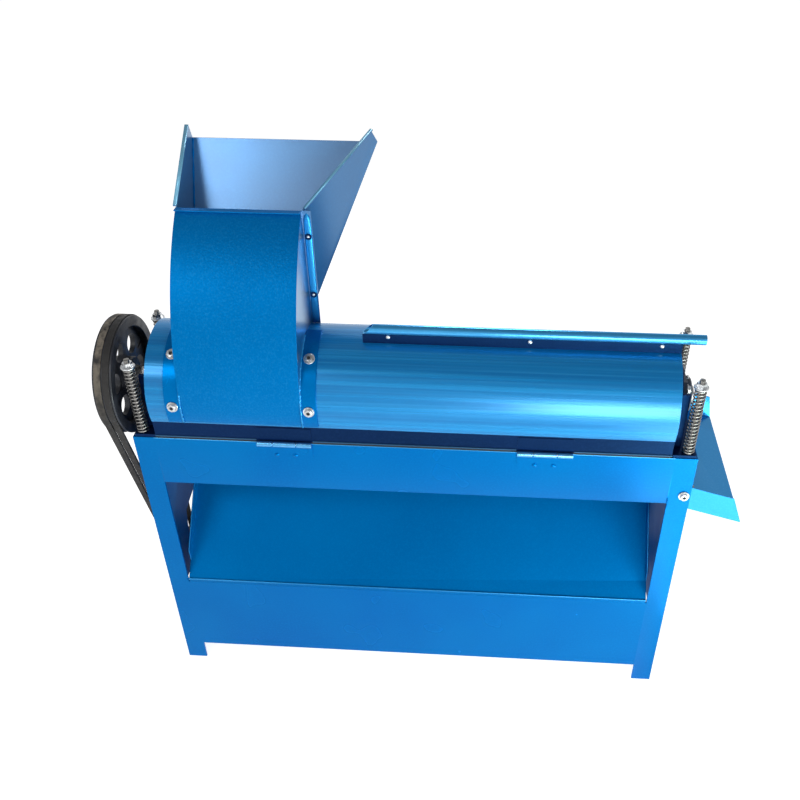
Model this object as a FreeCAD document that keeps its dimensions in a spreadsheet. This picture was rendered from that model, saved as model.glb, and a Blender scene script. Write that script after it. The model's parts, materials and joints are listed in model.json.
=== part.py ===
import FreeCAD, Part
import math
import os
import re
import Sketcher

# Drum-type nut shelling machine: an angle-iron frame carries a barred concave, a ribbed rotor turns
# over it on two spring-held carriers, and a hinged cover with a feed hopper closes the drum.
# Lengths are millimetres and angles are degrees. x runs from the frame's left face to the right,
# y from its front face to the back, z up from the floor. Datum_x and datum_y move all of it, so
# that the origin ends under the middle of the whole machine.

doc = FreeCAD.newDocument("nut_shelling_machine")
sizes = doc.addObject("Spreadsheet::Sheet", "Sizes")

DRIVING = {
    # Frame of angle-iron legs and folded sheet.
    "frame_length": 1030, "frame_depth": 335, "frame_height": 623,
    "leg_width": 40, "leg_wall": 4, "sheet_wall": 2, "beam_wall": 3, "beam_height": 107,
    "beam_foot": 20, "front_return": 16.5, "window_height": 264, "skirt_bottom": 47,
    "rear_skirt_top": 120, "belt_window_top": 330, "left_panel_bottom": 170,
    "right_panel_bottom": 100, "end_rail_wall": 6, "end_rail_drop": 34,
    "mid_rail_width": 36, "mid_rail_drop": 40, "tray_angle": 45, "tray_guard": 28, "tray_lip": 9,
    # Drum axis, cover shell and its flanges.
    "drum_y": 98, "drum_rise": 73, "cover_radius": 107, "cover_wall": 2, "cover_drop": 18,
    "cover_start": 45, "cover_end_inset": 48, "seal_height": 5, "running_gap": 0.3,
    "flange_wall": 3, "flange_foot": 14, "end_wall": 2,
    # Barred concave under the rotor and the shell outlet at its right end.
    "concave_radius": 78, "grate_rod_radius": 4, "grate_rod_count": 13, "grate_rib_depth": 14,
    "grate_rib_wall": 6, "grate_rib_count": 9, "grate_start": 50, "shell_outlet": 62, "side_bar_wall": 5,
    "side_bar_above": 36, "side_bar_below": 23,
    # Rotor.
    "shaft_radius": 17.5, "rotor_radius": 60, "rotor_wall": 4, "rotor_start": 62,
    "rotor_inset": 17, "rotor_disc": 8, "beater_height": 12, "beater_width": 10,
    "beater_pitch": 1250, "beater_count": 4,
    # Spring-held bearing carriers.
    "carrier_wall": 5, "carrier_width": 140, "carrier_height": 148, "carrier_gap": 2,
    "carrier_flange": 18, "foot_wall": 6, "stud_inset": 18, "stud_front_y": 12.6,
    "stud_radius": 5, "stud_rise": 162, "spring_rise": 145, "spring_radius": 11, "spring_wire": 3.4,
    "spring_turns": 20, "spring_steps": 8, "spring_play": 0.2, "washer_radius": 13,
    "washer_wall": 3, "nut_radius": 9, "nut_height": 8,
    "bearing_half": 48, "bearing_base": 12, "bearing_boss": 34, "bearing_depth": 26,
    "fit_gap": 0.05, "stud_gap": 0.6,
    # Belt drive.
    "pulley_gap": 13, "pulley_width": 35, "pulley_radius": 110, "groove_pitch": 15,
    "belt_width": 12.4, "belt_bottom": 7, "belt_depth": 8, "belt_proud": 2, "groove_floor": 11,
    "groove_play": 0.3, "rim_depth": 20, "web_wall": 10, "hub_radius": 34, "web_hole_radius": 19,
    "web_hole_circle": 59, "motor_pulley_radius": 40, "motor_y": 175, "motor_z": 185,
    "motor_radius": 70, "motor_start": 45, "motor_length": 215, "motor_shaft_radius": 12,
    "motor_deck": 95, "motor_foot": 10, "motor_plate_wall": 6, "motor_rail_width": 32,
    "motor_rail_height": 22,
    # Neck and hopper.
    "neck_left": 107, "neck_width": 216, "neck_front_radius": 396, "neck_drop": 15,
    "neck_rise": 385, "neck_rear_y": 151, "back_knee_rise": 192, "hopper_back_y": 285,
    "hopper_back_rise": 458, "hopper_peak_y": 274, "hopper_peak_rise": 482, "hopper_flare": 0.86,
    "rim_lip": 9, "wall_lip": 5, "strip_width": 15, "strap_width": 28, "strap_wall": 3,
    "strap_drop": 15, "collar_bolt_low": 4, "collar_bolt_high": 54,
    # Rail along the top of the cover.
    "rail_y": 70, "rail_start": 427, "rail_rise": 18, "rail_radius": 9, "rail_wall": 1.5,
    "rail_overhang": 38,
    # Cover hinges on the front beam.
    "hinge_out": 6.5, "hinge_up": 1.5, "knuckle_radius": 5.5, "hinge_pin_radius": 2.5,
    "hinge_length": 100, "hinge_middle": 42, "knuckle_gap": 0.5, "leaf_wall": 2,
    "leaf_height": 38, "hinge_left_x": 284, "hinge_right_x": 757, "hinge_screw": 17,
    # Discharge chute.
    "chute_reach": 102, "chute_fall": 116, "chute_slope": 15.5, "chute_side": 49,
    "chute_rake": 21, "chute_rear_rake": 9,
    # Bolts.
    "bolt_radius": 4, "bolt_head": 7.5, "bolt_head_height": 5, "bolt_washer": 10,
    "bolt_washer_wall": 2, "screw_radius": 4.5, "screw_shank": 2.2, "screw_height": 2.5, "drill_over": 2,
}

DERIVED = {
    "drum_z": "frame_height + drum_rise",
    "skirt_top": "frame_height - beam_height - window_height",
    "stud_top": "frame_height + stud_rise",
    "spring_top": "frame_height + spring_rise",
    "neck_top": "frame_height + neck_rise",
    "back_knee_z": "frame_height + back_knee_rise",
    "hopper_back_z": "frame_height + hopper_back_rise",
    "hopper_peak_z": "frame_height + hopper_peak_rise",
    "chute_z": "frame_height - chute_fall",
    "cover_inner": "cover_radius - cover_wall",
    "cover_end": "frame_length - cover_end_inset",
    "cover_length": "cover_end - cover_start",
    "grate_length": "cover_end - shell_outlet - grate_start",
    "rotor_length": "cover_end - rotor_inset - rotor_start",
    "flange_out": "cover_inner * cos(cover_drop)",
    "flange_bottom": "frame_height + seal_height + running_gap",
    "flange_top": "drum_z - cover_inner * sin(cover_drop) + 4",
    "hinge_z": "frame_height + hinge_up",
    "beam_bottom": "frame_height - beam_height",
    "side_bar_out": "drum_y - front_return",
    "grate_rod_ring": "concave_radius + grate_rod_radius",
    "grate_rib_inner": "concave_radius + 2 * grate_rod_radius",
    "grate_rib_outer": "grate_rib_inner + grate_rib_depth",
    "mid_rail_y": "drum_y + side_bar_out",
    "deck_start": "drum_y + flange_out - flange_wall + flange_foot + 1",
    "stud_rear_y": "2 * drum_y - stud_front_y",
    "carrier_left_x": "cover_start - carrier_gap - carrier_wall",
    "carrier_right_x": "cover_end + carrier_gap",
    "pulley_mid_x": "-pulley_gap - pulley_width / 2",
    "neck_right": "neck_left + neck_width",
    "neck_centre_y": "drum_y - cover_radius - sheet_wall + neck_front_radius",
    "shoulder_y": "neck_centre_y - sqrt(neck_front_radius ^ 2 - (neck_top - drum_z) ^ 2)",
    "back_tilt": "atan((hopper_back_y - neck_rear_y) / (hopper_back_z - back_knee_z))",
    "chute_drop": "chute_reach * tan(chute_slope)",
    "datum_x": "0",
    "datum_y": "0",
}

for row, (name, amount) in enumerate(list(DRIVING.items()) + list(DERIVED.items()), start=1):
    sizes.set("A%d" % row, name)
    sizes.set("B%d" % row, "=" + amount if isinstance(amount, str) else str(amount))
    sizes.setAlias("B%d" % row, name)
doc.recompute()

NAMES = set(DRIVING) | set(DERIVED)
ALONG_X = FreeCAD.Rotation(FreeCAD.Vector(1, 1, 1), 120)
ALONG_Z = FreeCAD.Rotation()
X_AXIS = FreeCAD.Vector(1, 0, 0)
Y_AXIS = FreeCAD.Vector(0, 1, 0)
Z_AXIS = FreeCAD.Vector(0, 0, 1)


def bound(text):
    """The expression as other objects of the document write it, with the sheet's name before each size."""
    return re.sub(r"[a-z][a-z0-9_]*", lambda w: "Sizes." + w.group() if w.group() in NAMES else w.group(), str(text))


def value(text):
    """What an expression on the sheet's sizes comes to now."""
    result = sizes.evalExpression(bound(text))
    return float(getattr(result, "Value", result))


def bind(thing, **sizes_of_it):
    """Binds properties of an object to expressions."""
    for name, text in sizes_of_it.items():
        thing.setExpression(name, bound(text))


def put(thing, at, rotation=ALONG_Z, angle=None):
    """Places an object at (x, y, z) of the frame. A bound angle turns it about the rotation's axis."""
    thing.Placement = FreeCAD.Placement(FreeCAD.Vector(), rotation)
    thing.setExpression("Placement.Base.x", bound("(%s) - datum_x" % at[0]))
    thing.setExpression("Placement.Base.y", bound("(%s) - datum_y" % at[1]))
    thing.setExpression("Placement.Base.z", bound(at[2]))
    if angle is not None:
        thing.setExpression("Placement.Rotation.Angle", bound(angle))
    return thing


# Bodies made of sketches

def plane_of(body, role):
    """One of a body's own origin planes or axes."""
    return [feature for feature in body.Origin.OriginFeatures if feature.Role == role][0]


def new_body(label, at=("0", "0", "0"), rotation=ALONG_Z, angle=None):
    """An empty body with its name and place."""
    body = doc.addObject("PartDesign::Body", label)
    body.Label = label
    return put(body, at, rotation, angle)


def new_sketch(body, plane, start="0"):
    """A sketch on one of the body's planes, moved by start along the positive axis that is square to it."""
    sketch = body.newObject("Sketcher::SketchObject", body.Name + "_sketch")
    sketch.AttachmentSupport = [(plane_of(body, plane), "")]
    sketch.MapMode = "FlatFace"
    sign = "-" if plane == "XZ_Plane" else ""
    sketch.setExpression("AttachmentOffset.Base.z", bound("%s(%s)" % (sign, start)))
    return sketch


def dimension(sketch, kind, geometry, point, text):
    """A dimension from the sketch's origin to a point, bound to an expression."""
    constraint = sketch.addConstraint(Sketcher.Constraint(kind, -1, 1, geometry, point, value(text)))
    sketch.setExpression("Constraints[%d]" % constraint, bound(text))


def draw_outline(sketch, corners):
    """Draws a closed outline through corners, each a pair of expressions. A third entry makes the
    edge that leaves the corner an arc of that radius: positive turns left, negative turns right."""
    spots = [FreeCAD.Vector(value(corner[0]), value(corner[1]), 0) for corner in corners]
    edges = []
    for here, corner in enumerate(corners):
        start, end = spots[here], spots[(here + 1) % len(spots)]
        if len(corner) == 2:
            edges.append((sketch.addGeometry(Part.LineSegment(start, end), False), 1, 2))
            continue
        radius = value(corner[2])
        half = (end - start) * 0.5
        side = FreeCAD.Vector(-half.y, half.x, 0).normalize()
        rise = math.sqrt(max(radius * radius - half.Length * half.Length, 0))
        centre = start + half + side * math.copysign(rise, radius)
        first, last = (start, end) if radius > 0 else (end, start)
        turns = [math.atan2(spot.y - centre.y, spot.x - centre.x) for spot in (first, last)]
        if turns[1] < turns[0]:
            turns[1] += 2 * math.pi
        arc = Part.ArcOfCircle(Part.Circle(centre, Z_AXIS, abs(radius)), *turns)
        edge = sketch.addGeometry(arc, False)
        edges.append((edge, 1, 2) if radius > 0 else (edge, 2, 1))
        round_size = sketch.addConstraint(Sketcher.Constraint("Radius", edge, abs(radius)))
        sketch.setExpression("Constraints[%d]" % round_size, bound("abs(%s)" % corner[2]))
    for here, (edge, start, end) in enumerate(edges):
        after = edges[(here + 1) % len(edges)]
        sketch.addConstraint(Sketcher.Constraint("Coincident", edge, end, after[0], after[1]))
        dimension(sketch, "DistanceX", edge, start, corners[here][0])
        dimension(sketch, "DistanceY", edge, start, corners[here][1])


def draw_circle(sketch, across, up, radius):
    """Draws a circle with bound centre and radius."""
    centre = FreeCAD.Vector(value(across), value(up), 0)
    circle = sketch.addGeometry(Part.Circle(centre, Z_AXIS, value(radius)), False)
    dimension(sketch, "DistanceX", circle, 3, across)
    dimension(sketch, "DistanceY", circle, 3, up)
    size = sketch.addConstraint(Sketcher.Constraint("Radius", circle, value(radius)))
    sketch.setExpression("Constraints[%d]" % size, bound(radius))


def pad(body, plane, corners, length, start="0", holes=()):
    """Pads an outline with round holes from start, along the positive axis square to its plane."""
    sketch = new_sketch(body, plane, start)
    draw_outline(sketch, corners)
    for hole in holes:
        draw_circle(sketch, *hole)
    feature = body.newObject("PartDesign::Pad", body.Name + "_pad")
    feature.Profile = sketch
    feature.Reversed = plane == "XZ_Plane"
    bind(feature, Length=length)
    body.Tip = feature
    return feature


def pocket(body, plane, start="0", corners=None, circles=(), length=None):
    """Cuts an outline or circles along the positive axis square to their plane: through everything
    if no length is given."""
    doc.recompute()
    before = body.Shape.Volume
    sketch = new_sketch(body, plane, start)
    if corners:
        draw_outline(sketch, corners)
    for circle in circles:
        draw_circle(sketch, *circle)
    feature = body.newObject("PartDesign::Pocket", body.Name + "_pocket")
    feature.Profile = sketch
    feature.Reversed = plane != "XZ_Plane"
    if length is None:
        feature.Type = "ThroughAll"
    else:
        bind(feature, Length=length)
    body.Tip = feature
    doc.recompute()
    if not body.Shape.Volume < before:
        raise RuntimeError("the pocket in %s cut nothing" % body.Label)
    return feature


def revolve(body, corners):
    """Turns an outline, given as (radius, height) pairs, about the body's Z axis."""
    sketch = new_sketch(body, "XZ_Plane")
    draw_outline(sketch, corners)
    feature = body.newObject("PartDesign::Revolution", body.Name + "_revolution")
    feature.Profile = sketch
    feature.ReferenceAxis = (sketch, ["V_Axis"])
    body.Tip = feature
    return feature


def box_corners(low_x, low_y, high_x, high_y):
    """The corners of a rectangle."""
    return [(low_x, low_y), (high_x, low_y), (high_x, high_y), (low_x, high_y)]


def plate(label, plane, corners, length, at, rotation=ALONG_Z, angle=None, holes=()):
    """A body that is one padded outline."""
    body = new_body(label, at, rotation, angle)
    pad(body, plane, corners, length, holes=holes)
    return body


# Turned and fastener pieces made of primitives

def rod(label, radius, length, at, rotation=ALONG_Z):
    """A plain round rod along its Z axis."""
    piece = doc.addObject("Part::Cylinder", label)
    piece.Label = label
    bind(piece, Radius=radius, Height=length)
    return put(piece, at, rotation)


def tube(label, outer, inner, length, at, rotation=ALONG_Z):
    """A ring or tube along its Z axis."""
    body = new_body(label, at, rotation)
    revolve(body, [(inner, "0"), (outer, "0"), (outer, length), (inner, length)])
    return body


def prism(label, sides, radius, height, start="0"):
    """A many-sided bar along Z. Small fasteners and their holes are eight-sided to stay light."""
    piece = doc.addObject("Part::Prism", label)
    piece.Polygon = sides
    bind(piece, Circumradius=radius, Height=height)
    piece.setExpression("Placement.Base.z", bound(start))
    return piece


def fastener(label, parts, at, rotation, angle):
    """Fuses a fastener's parts. Its own Z axis points out of the head, and z 0 is the seat."""
    whole = doc.addObject("Part::MultiFuse", label)
    whole.Shapes = parts
    return put(whole, at, rotation, angle)


def bolt(at, rotation, angle, grip):
    """A hexagon bolt with its washer."""
    return fastener("bolt", [
        prism("bolt_washer", 12, "bolt_washer", "bolt_washer_wall"),
        prism("bolt_head", 6, "bolt_head", "bolt_head_height + bolt_washer_wall"),
        prism("bolt_shank", 8, "bolt_radius", "%s + bolt_washer_wall" % grip, "-(%s)" % grip)],
        at, rotation, angle)


def screw(at, rotation, angle, grip):
    """A small flat-head screw."""
    return fastener("screw", [
        prism("screw_head", 8, "screw_radius", "screw_height"),
        prism("screw_shank", 8, "screw_shank", "%s + screw_height / 2" % grip, "-(%s)" % grip)],
        at, rotation, angle)


def hole_for(at, rotation, angle, grip, radius="bolt_radius"):
    """The hole that a bolt or screw with this seat and grip passes through."""
    hole = prism("hole", 8, "%s + fit_gap" % radius, "%s + 2 * drill_over" % grip, "-(%s) - drill_over" % grip)
    drill = doc.addObject("Part::Compound", "drill")
    drill.Links = [hole]
    return put(drill, at, rotation, angle)


def drilled(label, piece, holes):
    """A piece with round holes bored through it."""
    piece.Label = label + "_blank"
    tools = doc.addObject("Part::Compound", "drills")
    tools.Links = holes
    whole = doc.addObject("Part::Cut", label)
    whole.Label = label
    whole.Base = piece
    whole.Tool = tools
    return whole


def group(label, pieces):
    """Several like pieces kept as separate solids under one name."""
    whole = doc.addObject("Part::Compound", label)
    whole.Label = label
    whole.Links = pieces
    return whole


SUBPARTS = []


def keep(*pieces):
    """Lists finished sub-parts for writing."""
    SUBPARTS.extend(pieces)


TO_FRONT = FreeCAD.Rotation(X_AXIS, 90)
TO_RIGHT = FreeCAD.Rotation(Y_AXIS, 90)
TO_LEFT = FreeCAD.Rotation(Y_AXIS, -90)

# Legs: one angle section, turned by a quarter for each corner

leg_section = [("0", "0"), ("leg_width", "0"), ("leg_width", "leg_wall"), ("leg_wall", "leg_wall"),
               ("leg_wall", "leg_width"), ("0", "leg_width")]
leg_corners = {"leg_front_left": ("0", "0", 0), "leg_front_right": ("frame_length", "0", 90),
               "leg_rear_right": ("frame_length", "frame_depth", 180),
               "leg_rear_left": ("0", "frame_depth", 270)}
legs = {label: plate(label, "XY_Plane", leg_section, "frame_height", (corner_x, corner_y, "0"),
                     FreeCAD.Rotation(Z_AXIS, turn))
        for label, (corner_x, corner_y, turn) in leg_corners.items()}
keep(legs["leg_front_left"], legs["leg_rear_left"])

# Beams and skirts: folded channels that fill the frame between the legs

beam_length = "frame_length - 2 * leg_width"


def channel(label, depth_sign, face_y, low, high, top_return, foot):
    """A sheet with its top and bottom edges folded inwards, standing between two legs."""
    def inward(far):
        """A distance from the face towards the frame's middle."""
        return "%s(%s)" % (depth_sign, far)

    corners = [("0", low), (inward(foot), low), (inward(foot), low + " + beam_wall"),
               (inward("beam_wall"), low + " + beam_wall"), (inward("beam_wall"), high + " - beam_wall"),
               (inward(top_return), high + " - beam_wall"), (inward(top_return), high), ("0", high)]
    return plate(label, "YZ_Plane", corners, beam_length, ("leg_width", face_y, "0"))


front_beam = channel("front_beam", "", "0", "beam_bottom", "frame_height", "front_return", "beam_foot")
keep(channel("front_skirt", "", "0", "skirt_bottom", "skirt_top - tray_lip", "beam_foot", "beam_foot"))
keep(channel("rear_beam", "-", "frame_depth", "beam_bottom", "frame_height", "beam_foot", "beam_foot"))
keep(channel("rear_skirt", "-", "frame_depth", "skirt_bottom", "rear_skirt_top", "beam_foot", "beam_foot"))

# Side panels: the belt and motor shaft need the left one open below, the shells leave by the right

panel_depth = "frame_depth - 2 * leg_width"
panel_top = "frame_height - end_rail_wall"
shaft_room = "motor_y - leg_width - 2 * motor_shaft_radius"
left_panel = plate("left_side_panel", "YZ_Plane", [
    ("0", "left_panel_bottom"), ("(%s) * 0.75" % shaft_room, "left_panel_bottom"),
    (shaft_room, "belt_window_top - 2 * motor_shaft_radius"), (panel_depth, "belt_window_top"),
    (panel_depth, panel_top), ("0", panel_top)], "sheet_wall", ("0", "leg_width", "0"))
right_panel = plate("right_side_panel", "YZ_Plane",
                    box_corners("0", "right_panel_bottom", panel_depth, panel_top), "sheet_wall",
                    ("frame_length - sheet_wall", "leg_width", "0"))
inner_chute_low = "leg_width + 2"
inner_chute_width = "mid_rail_y + mid_rail_width - leg_width - 4"
pocket(right_panel, "YZ_Plane", corners=box_corners(
    "2", "chute_z - 4", "2 + (%s)" % inner_chute_width, "chute_z + chute_side + 6"))
keep(left_panel, right_panel)

# Rails across the ends and along the back of the drum

end_rail_run = "frame_depth - 2 * leg_wall"
end_rails = []
for label, flip in (("end_rail_left", False), ("end_rail_right", True)):
    section = [("0", "0"), ("leg_width - leg_wall", "0"), ("leg_width - leg_wall", "-end_rail_drop - end_rail_wall"),
               ("leg_width - leg_wall - end_rail_wall", "-end_rail_drop - end_rail_wall"),
               ("leg_width - leg_wall - end_rail_wall", "-end_rail_wall"), ("0", "-end_rail_wall")]
    if flip:
        section = [("-(%s)" % across, up) for across, up in section]
    rail = plate(label, "XZ_Plane", section, end_rail_run,
                 ("frame_length - leg_wall" if flip else "leg_wall", "leg_wall", "frame_height"))
    stud_x = "-(stud_inset - leg_wall)" if flip else "stud_inset - leg_wall"
    end_rails.append(rail)
    pocket(rail, "XY_Plane", start="-end_rail_wall - 1", circles=[
        (stud_x, "stud_front_y - leg_wall", "stud_radius + fit_gap"),
        (stud_x, "stud_rear_y - leg_wall", "stud_radius + fit_gap")])
keep(group("end_rails", end_rails))

mid_section = [("0", "0"), ("0", "-beam_wall"), ("mid_rail_width - beam_wall", "-beam_wall"),
               ("mid_rail_width - beam_wall", "-mid_rail_drop"), ("mid_rail_width", "-mid_rail_drop"),
               ("mid_rail_width", "0")]
keep(plate("mid_rail", "YZ_Plane", mid_section, beam_length, ("leg_width", "mid_rail_y", "frame_height")))
keep(plate("rear_deck", "XY_Plane",
           box_corners("0", "0", beam_length, "frame_depth - deck_start"),
           "sheet_wall", ("leg_width", "deck_start", "frame_height")))

# Tray that the kernels slide down to the front window: a sloping sheet with guards at its ends

tray = new_body("kernel_tray", ("leg_width + sheet_wall", "0", "skirt_top"))
tray_run = "frame_depth - beam_wall"
tray_rise = "(%s) * tan(tray_angle)" % tray_run
tray_length = "frame_length - 2 * leg_width - 2 * sheet_wall"
sheet_up = "sheet_wall / cos(tray_angle)"
pad(tray, "YZ_Plane", [("0", "-tray_lip"), ("sheet_wall", "-tray_lip"),
                       ("sheet_wall", "sheet_wall * tan(tray_angle) - (%s)" % sheet_up), (tray_run, "%s - %s" % (tray_rise, sheet_up)), (tray_run, tray_rise), ("0", "0")],
    tray_length)
for start in ("0", "(%s) - sheet_wall" % tray_length):
    pad(tray, "YZ_Plane", [("tray_guard", "tray_guard * tan(tray_angle)"), (tray_run, tray_rise),
                           (tray_run, "%s + tray_guard" % tray_rise),
                           ("tray_guard", "tray_guard * tan(tray_angle) + tray_guard")],
        "sheet_wall", start=start)
keep(tray)

# Concave: two side bars, half-moon ribs between them and rods laid in the ribs

keep(group("concave_side_bars", [
    plate("concave_side_bar", "YZ_Plane", box_corners("0", "-side_bar_below", "side_bar_wall", "side_bar_above"),
          "cover_end - end_wall - 3 - grate_start", ("grate_start", low_y, "frame_height"))
    for low_y in ("drum_y - side_bar_out", "drum_y + side_bar_out - side_bar_wall")]))

rib_half = "side_bar_out - side_bar_wall"
inner_edge = "-sqrt(grate_rib_inner ^ 2 - (%s) ^ 2)" % rib_half
outer_edge = "-sqrt(grate_rib_outer ^ 2 - (%s) ^ 2)" % rib_half
rib_step = "(grate_length - grate_rib_wall) / (grate_rib_count - 1)"
ribs = new_body("concave_ribs", ("grate_start", "drum_y", "drum_z"))
first_rib = pad(ribs, "YZ_Plane", [
    ("-(%s)" % rib_half, inner_edge, "grate_rib_inner"), ("0", "-grate_rib_inner", "grate_rib_inner"),
    (rib_half, inner_edge), (rib_half, outer_edge, "-grate_rib_outer"),
    ("0", "-grate_rib_outer", "-grate_rib_outer"), ("-(%s)" % rib_half, outer_edge)], "grate_rib_wall")
row = ribs.newObject("PartDesign::LinearPattern", "rib_row")
row.Originals = [first_rib]
row.Direction = (plane_of(ribs, "X_Axis"), [""])
bind(row, Length="grate_length - grate_rib_wall", Occurrences="grate_rib_count")
ribs.Tip = row
keep(ribs)

rod_reach = "acos((%s - grate_rod_radius) / grate_rod_ring) / 1deg" % rib_half
rods = []
for number in range(int(DRIVING["grate_rod_count"])):
    swing = "(180 + %s + %d * (180 - 2 * %s) / (grate_rod_count - 1))" % (rod_reach, number, rod_reach)
    rods.append(rod("concave_rod", "grate_rod_radius", "grate_length",
                    ("grate_start", "drum_y + grate_rod_ring * cos%s" % swing,
                     "drum_z + grate_rod_ring * sin%s" % swing), ALONG_X))
keep(group("concave_rods", rods))

# Seal strips that the cover closes on

seal_width = "flange_foot"
keep(group("seal_strips", [
    plate("seal_front", "XY_Plane", box_corners("0", "0", "cover_length", seal_width), "seal_height",
          ("cover_start", "drum_y - flange_out + 2", "frame_height")),
    plate("seal_rear", "XY_Plane", box_corners("0", "0", "cover_length", seal_width), "seal_height",
          ("cover_start", "drum_y + flange_out - flange_wall", "frame_height"))]))

# Cover shell with its feed port and two end walls notched for the shaft

cover = new_body("drum_cover", ("cover_start", "drum_y", "drum_z"))
edge_out = "cover_radius * cos(cover_drop)"
edge_down = "-cover_radius * sin(cover_drop)"
edge_in = "cover_inner * cos(cover_drop)"
edge_in_down = "-cover_inner * sin(cover_drop)"
pad(cover, "YZ_Plane", [
    ("-" + edge_out, edge_down, "-cover_radius"), ("0", "cover_radius", "-cover_radius"),
    (edge_out, edge_down), (edge_in, edge_in_down, "cover_inner"),
    ("0", "cover_inner", "cover_inner"), ("-" + edge_in, edge_in_down)], "cover_length")
port_clear = "2 * sheet_wall"
pocket(cover, "XY_Plane", corners=box_corners(
    "neck_left + %s - cover_start" % port_clear, "-cover_inner + 22",
    "neck_right - %s - cover_start" % port_clear, "neck_rear_y - %s - drum_y" % port_clear))

wall_out = "cover_inner - 0.2"
notch_low = "flange_bottom - drum_z"
notch_rear = "shaft_radius + 30"
notch_front = "-(shaft_radius + 5)"
notch_top = "shaft_radius + 11"
foot_side = "flange_out - flange_wall - 0.5"
wall_low = "flange_top + 0.5 - drum_z"
wall_reach = "sqrt((%s) ^ 2 - (%s) ^ 2)" % (wall_out, wall_low)
end_outline = [("-" + wall_reach, wall_low, "-(%s)" % wall_out), ("0", wall_out, "-(%s)" % wall_out),
               (wall_reach, wall_low), (foot_side, wall_low), (foot_side, notch_low + " + flange_wall + 0.5"),
               (notch_rear, notch_low + " + flange_wall + 0.5"), (notch_rear, notch_top),
               (notch_front, notch_top), (notch_front, notch_low + " + flange_wall + 0.5"),
               ("-(%s)" % foot_side, notch_low + " + flange_wall + 0.5"), ("-(%s)" % foot_side, wall_low)]
keep(group("cover_end_walls", [
    plate("end_wall_left", "YZ_Plane", end_outline, "end_wall", ("cover_start", "drum_y", "drum_z")),
    plate("end_wall_right", "YZ_Plane", end_outline, "end_wall",
          ("cover_end - end_wall", "drum_y", "drum_z"))]))

flange_section = [("0", "0"), ("flange_foot", "0"), ("flange_foot", "flange_wall"), ("flange_wall", "flange_wall"),
                  ("flange_wall", "flange_top - flange_bottom"), ("0", "flange_top - flange_bottom")]
flanges = [plate("cover_flange", "YZ_Plane", flange_section, "cover_length", ("cover_start", at_y, "flange_bottom"))
           for at_y in ("drum_y - flange_out", "drum_y + flange_out - flange_wall")]
keep(group("cover_flanges", flanges))

# Collar straps that hold the neck on the drum

strap_outer = "cover_radius + strap_wall"
strap_section = [
    ("-(%s) * cos(strap_drop)" % strap_outer, "-(%s) * sin(strap_drop)" % strap_outer, "-(%s)" % strap_outer),
    ("0", strap_outer), ("0", "cover_radius", "cover_radius"),
    ("-cover_radius * cos(strap_drop)", "-cover_radius * sin(strap_drop)")]
straps = group("collar_straps", [
    plate("collar_strap", "YZ_Plane", strap_section, "strap_width", (start, "drum_y", "drum_z"))
    for start in ("neck_left - strap_width", "neck_right")])

collar_bolts, collar_holes = [], []
for middle in ("neck_left - strap_width / 2", "neck_right + strap_width / 2"):
    for lift in ("collar_bolt_low", "collar_bolt_high"):
        seat = ((middle, "drum_y - (%s) * cos(%s)" % (strap_outer, lift), "drum_z + (%s) * sin(%s)" % (strap_outer, lift)),
                TO_FRONT, "90 - " + lift, "strap_wall + cover_wall + 4")
        collar_bolts.append(bolt(*seat))
        collar_holes.append(hole_for(*seat))
keep(group("collar_bolts", collar_bolts), drilled("collar_straps", straps, collar_holes),
     drilled("drum_cover", cover, collar_holes))

# Neck and hopper, each wall a sheet of its own

foot_z = "drum_z + sqrt(cover_radius ^ 2 - (neck_rear_y - drum_y) ^ 2)"
strip_foot_z = "(drum_z + sqrt(cover_radius ^ 2 - (neck_rear_y - sheet_wall - drum_y) ^ 2))"
skin_radius = "cover_radius + sheet_wall"
inner_front = "neck_front_radius - sheet_wall"
inner_top_y = "neck_centre_y - sqrt((%s) ^ 2 - (neck_top - drum_z) ^ 2)" % inner_front

neck_front = new_body("neck_front_panel", ("neck_left", "0", "0"))
pad(neck_front, "YZ_Plane", [
    ("drum_y - (%s) * cos(neck_drop)" % skin_radius, "drum_z - (%s) * sin(neck_drop)" % skin_radius,
     "-(%s)" % skin_radius),
    ("drum_y - (%s)" % skin_radius, "drum_z", "-neck_front_radius"), ("shoulder_y", "neck_top"),
    (inner_top_y, "neck_top", inner_front), ("drum_y - cover_radius", "drum_z", "cover_radius"),
    ("drum_y - cover_radius * cos(neck_drop)", "drum_z - cover_radius * sin(neck_drop)")], "neck_width")
pad(neck_front, "YZ_Plane", box_corners("shoulder_y - rim_lip", "neck_top", inner_top_y, "neck_top + sheet_wall"),
    "neck_width")
keep(neck_front)

neck_edge = [(inner_top_y, "neck_top", inner_front), ("drum_y - cover_radius", "drum_z", "-cover_radius"),
             ("drum_y", "drum_z + cover_radius", "-cover_radius"), ("neck_rear_y", foot_z)]
neck_right = new_body("neck_right_wall", ("neck_right - sheet_wall", "0", "0"))
pad(neck_right, "YZ_Plane", neck_edge + [("neck_rear_y", "neck_top")], "sheet_wall")
pad(neck_right, "XZ_Plane", box_corners("sheet_wall", strip_foot_z, "sheet_wall + strip_width", "neck_top"), "sheet_wall",
    start="neck_rear_y - sheet_wall")

left_wall = new_body("hopper_left_wall", ("neck_left", "0", "0"))
pad(left_wall, "YZ_Plane", neck_edge + [("neck_rear_y", "back_knee_z"), ("hopper_back_y", "hopper_back_z"),
                                        ("hopper_peak_y", "hopper_peak_z")], "sheet_wall")
peak_slope = "(hopper_peak_z - neck_top) / (hopper_peak_y - (%s))" % inner_top_y
lip_low_y = inner_top_y + " + 3"
lip_low_z = "neck_top + 3 * " + peak_slope
pad(left_wall, "YZ_Plane", [
    (lip_low_y, lip_low_z), ("hopper_peak_y", "hopper_peak_z"),
    ("hopper_peak_y", "hopper_peak_z + sheet_wall"), (lip_low_y, lip_low_z + " + sheet_wall")],
    "wall_lip + sheet_wall", start="-wall_lip")
keep(left_wall)

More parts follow.
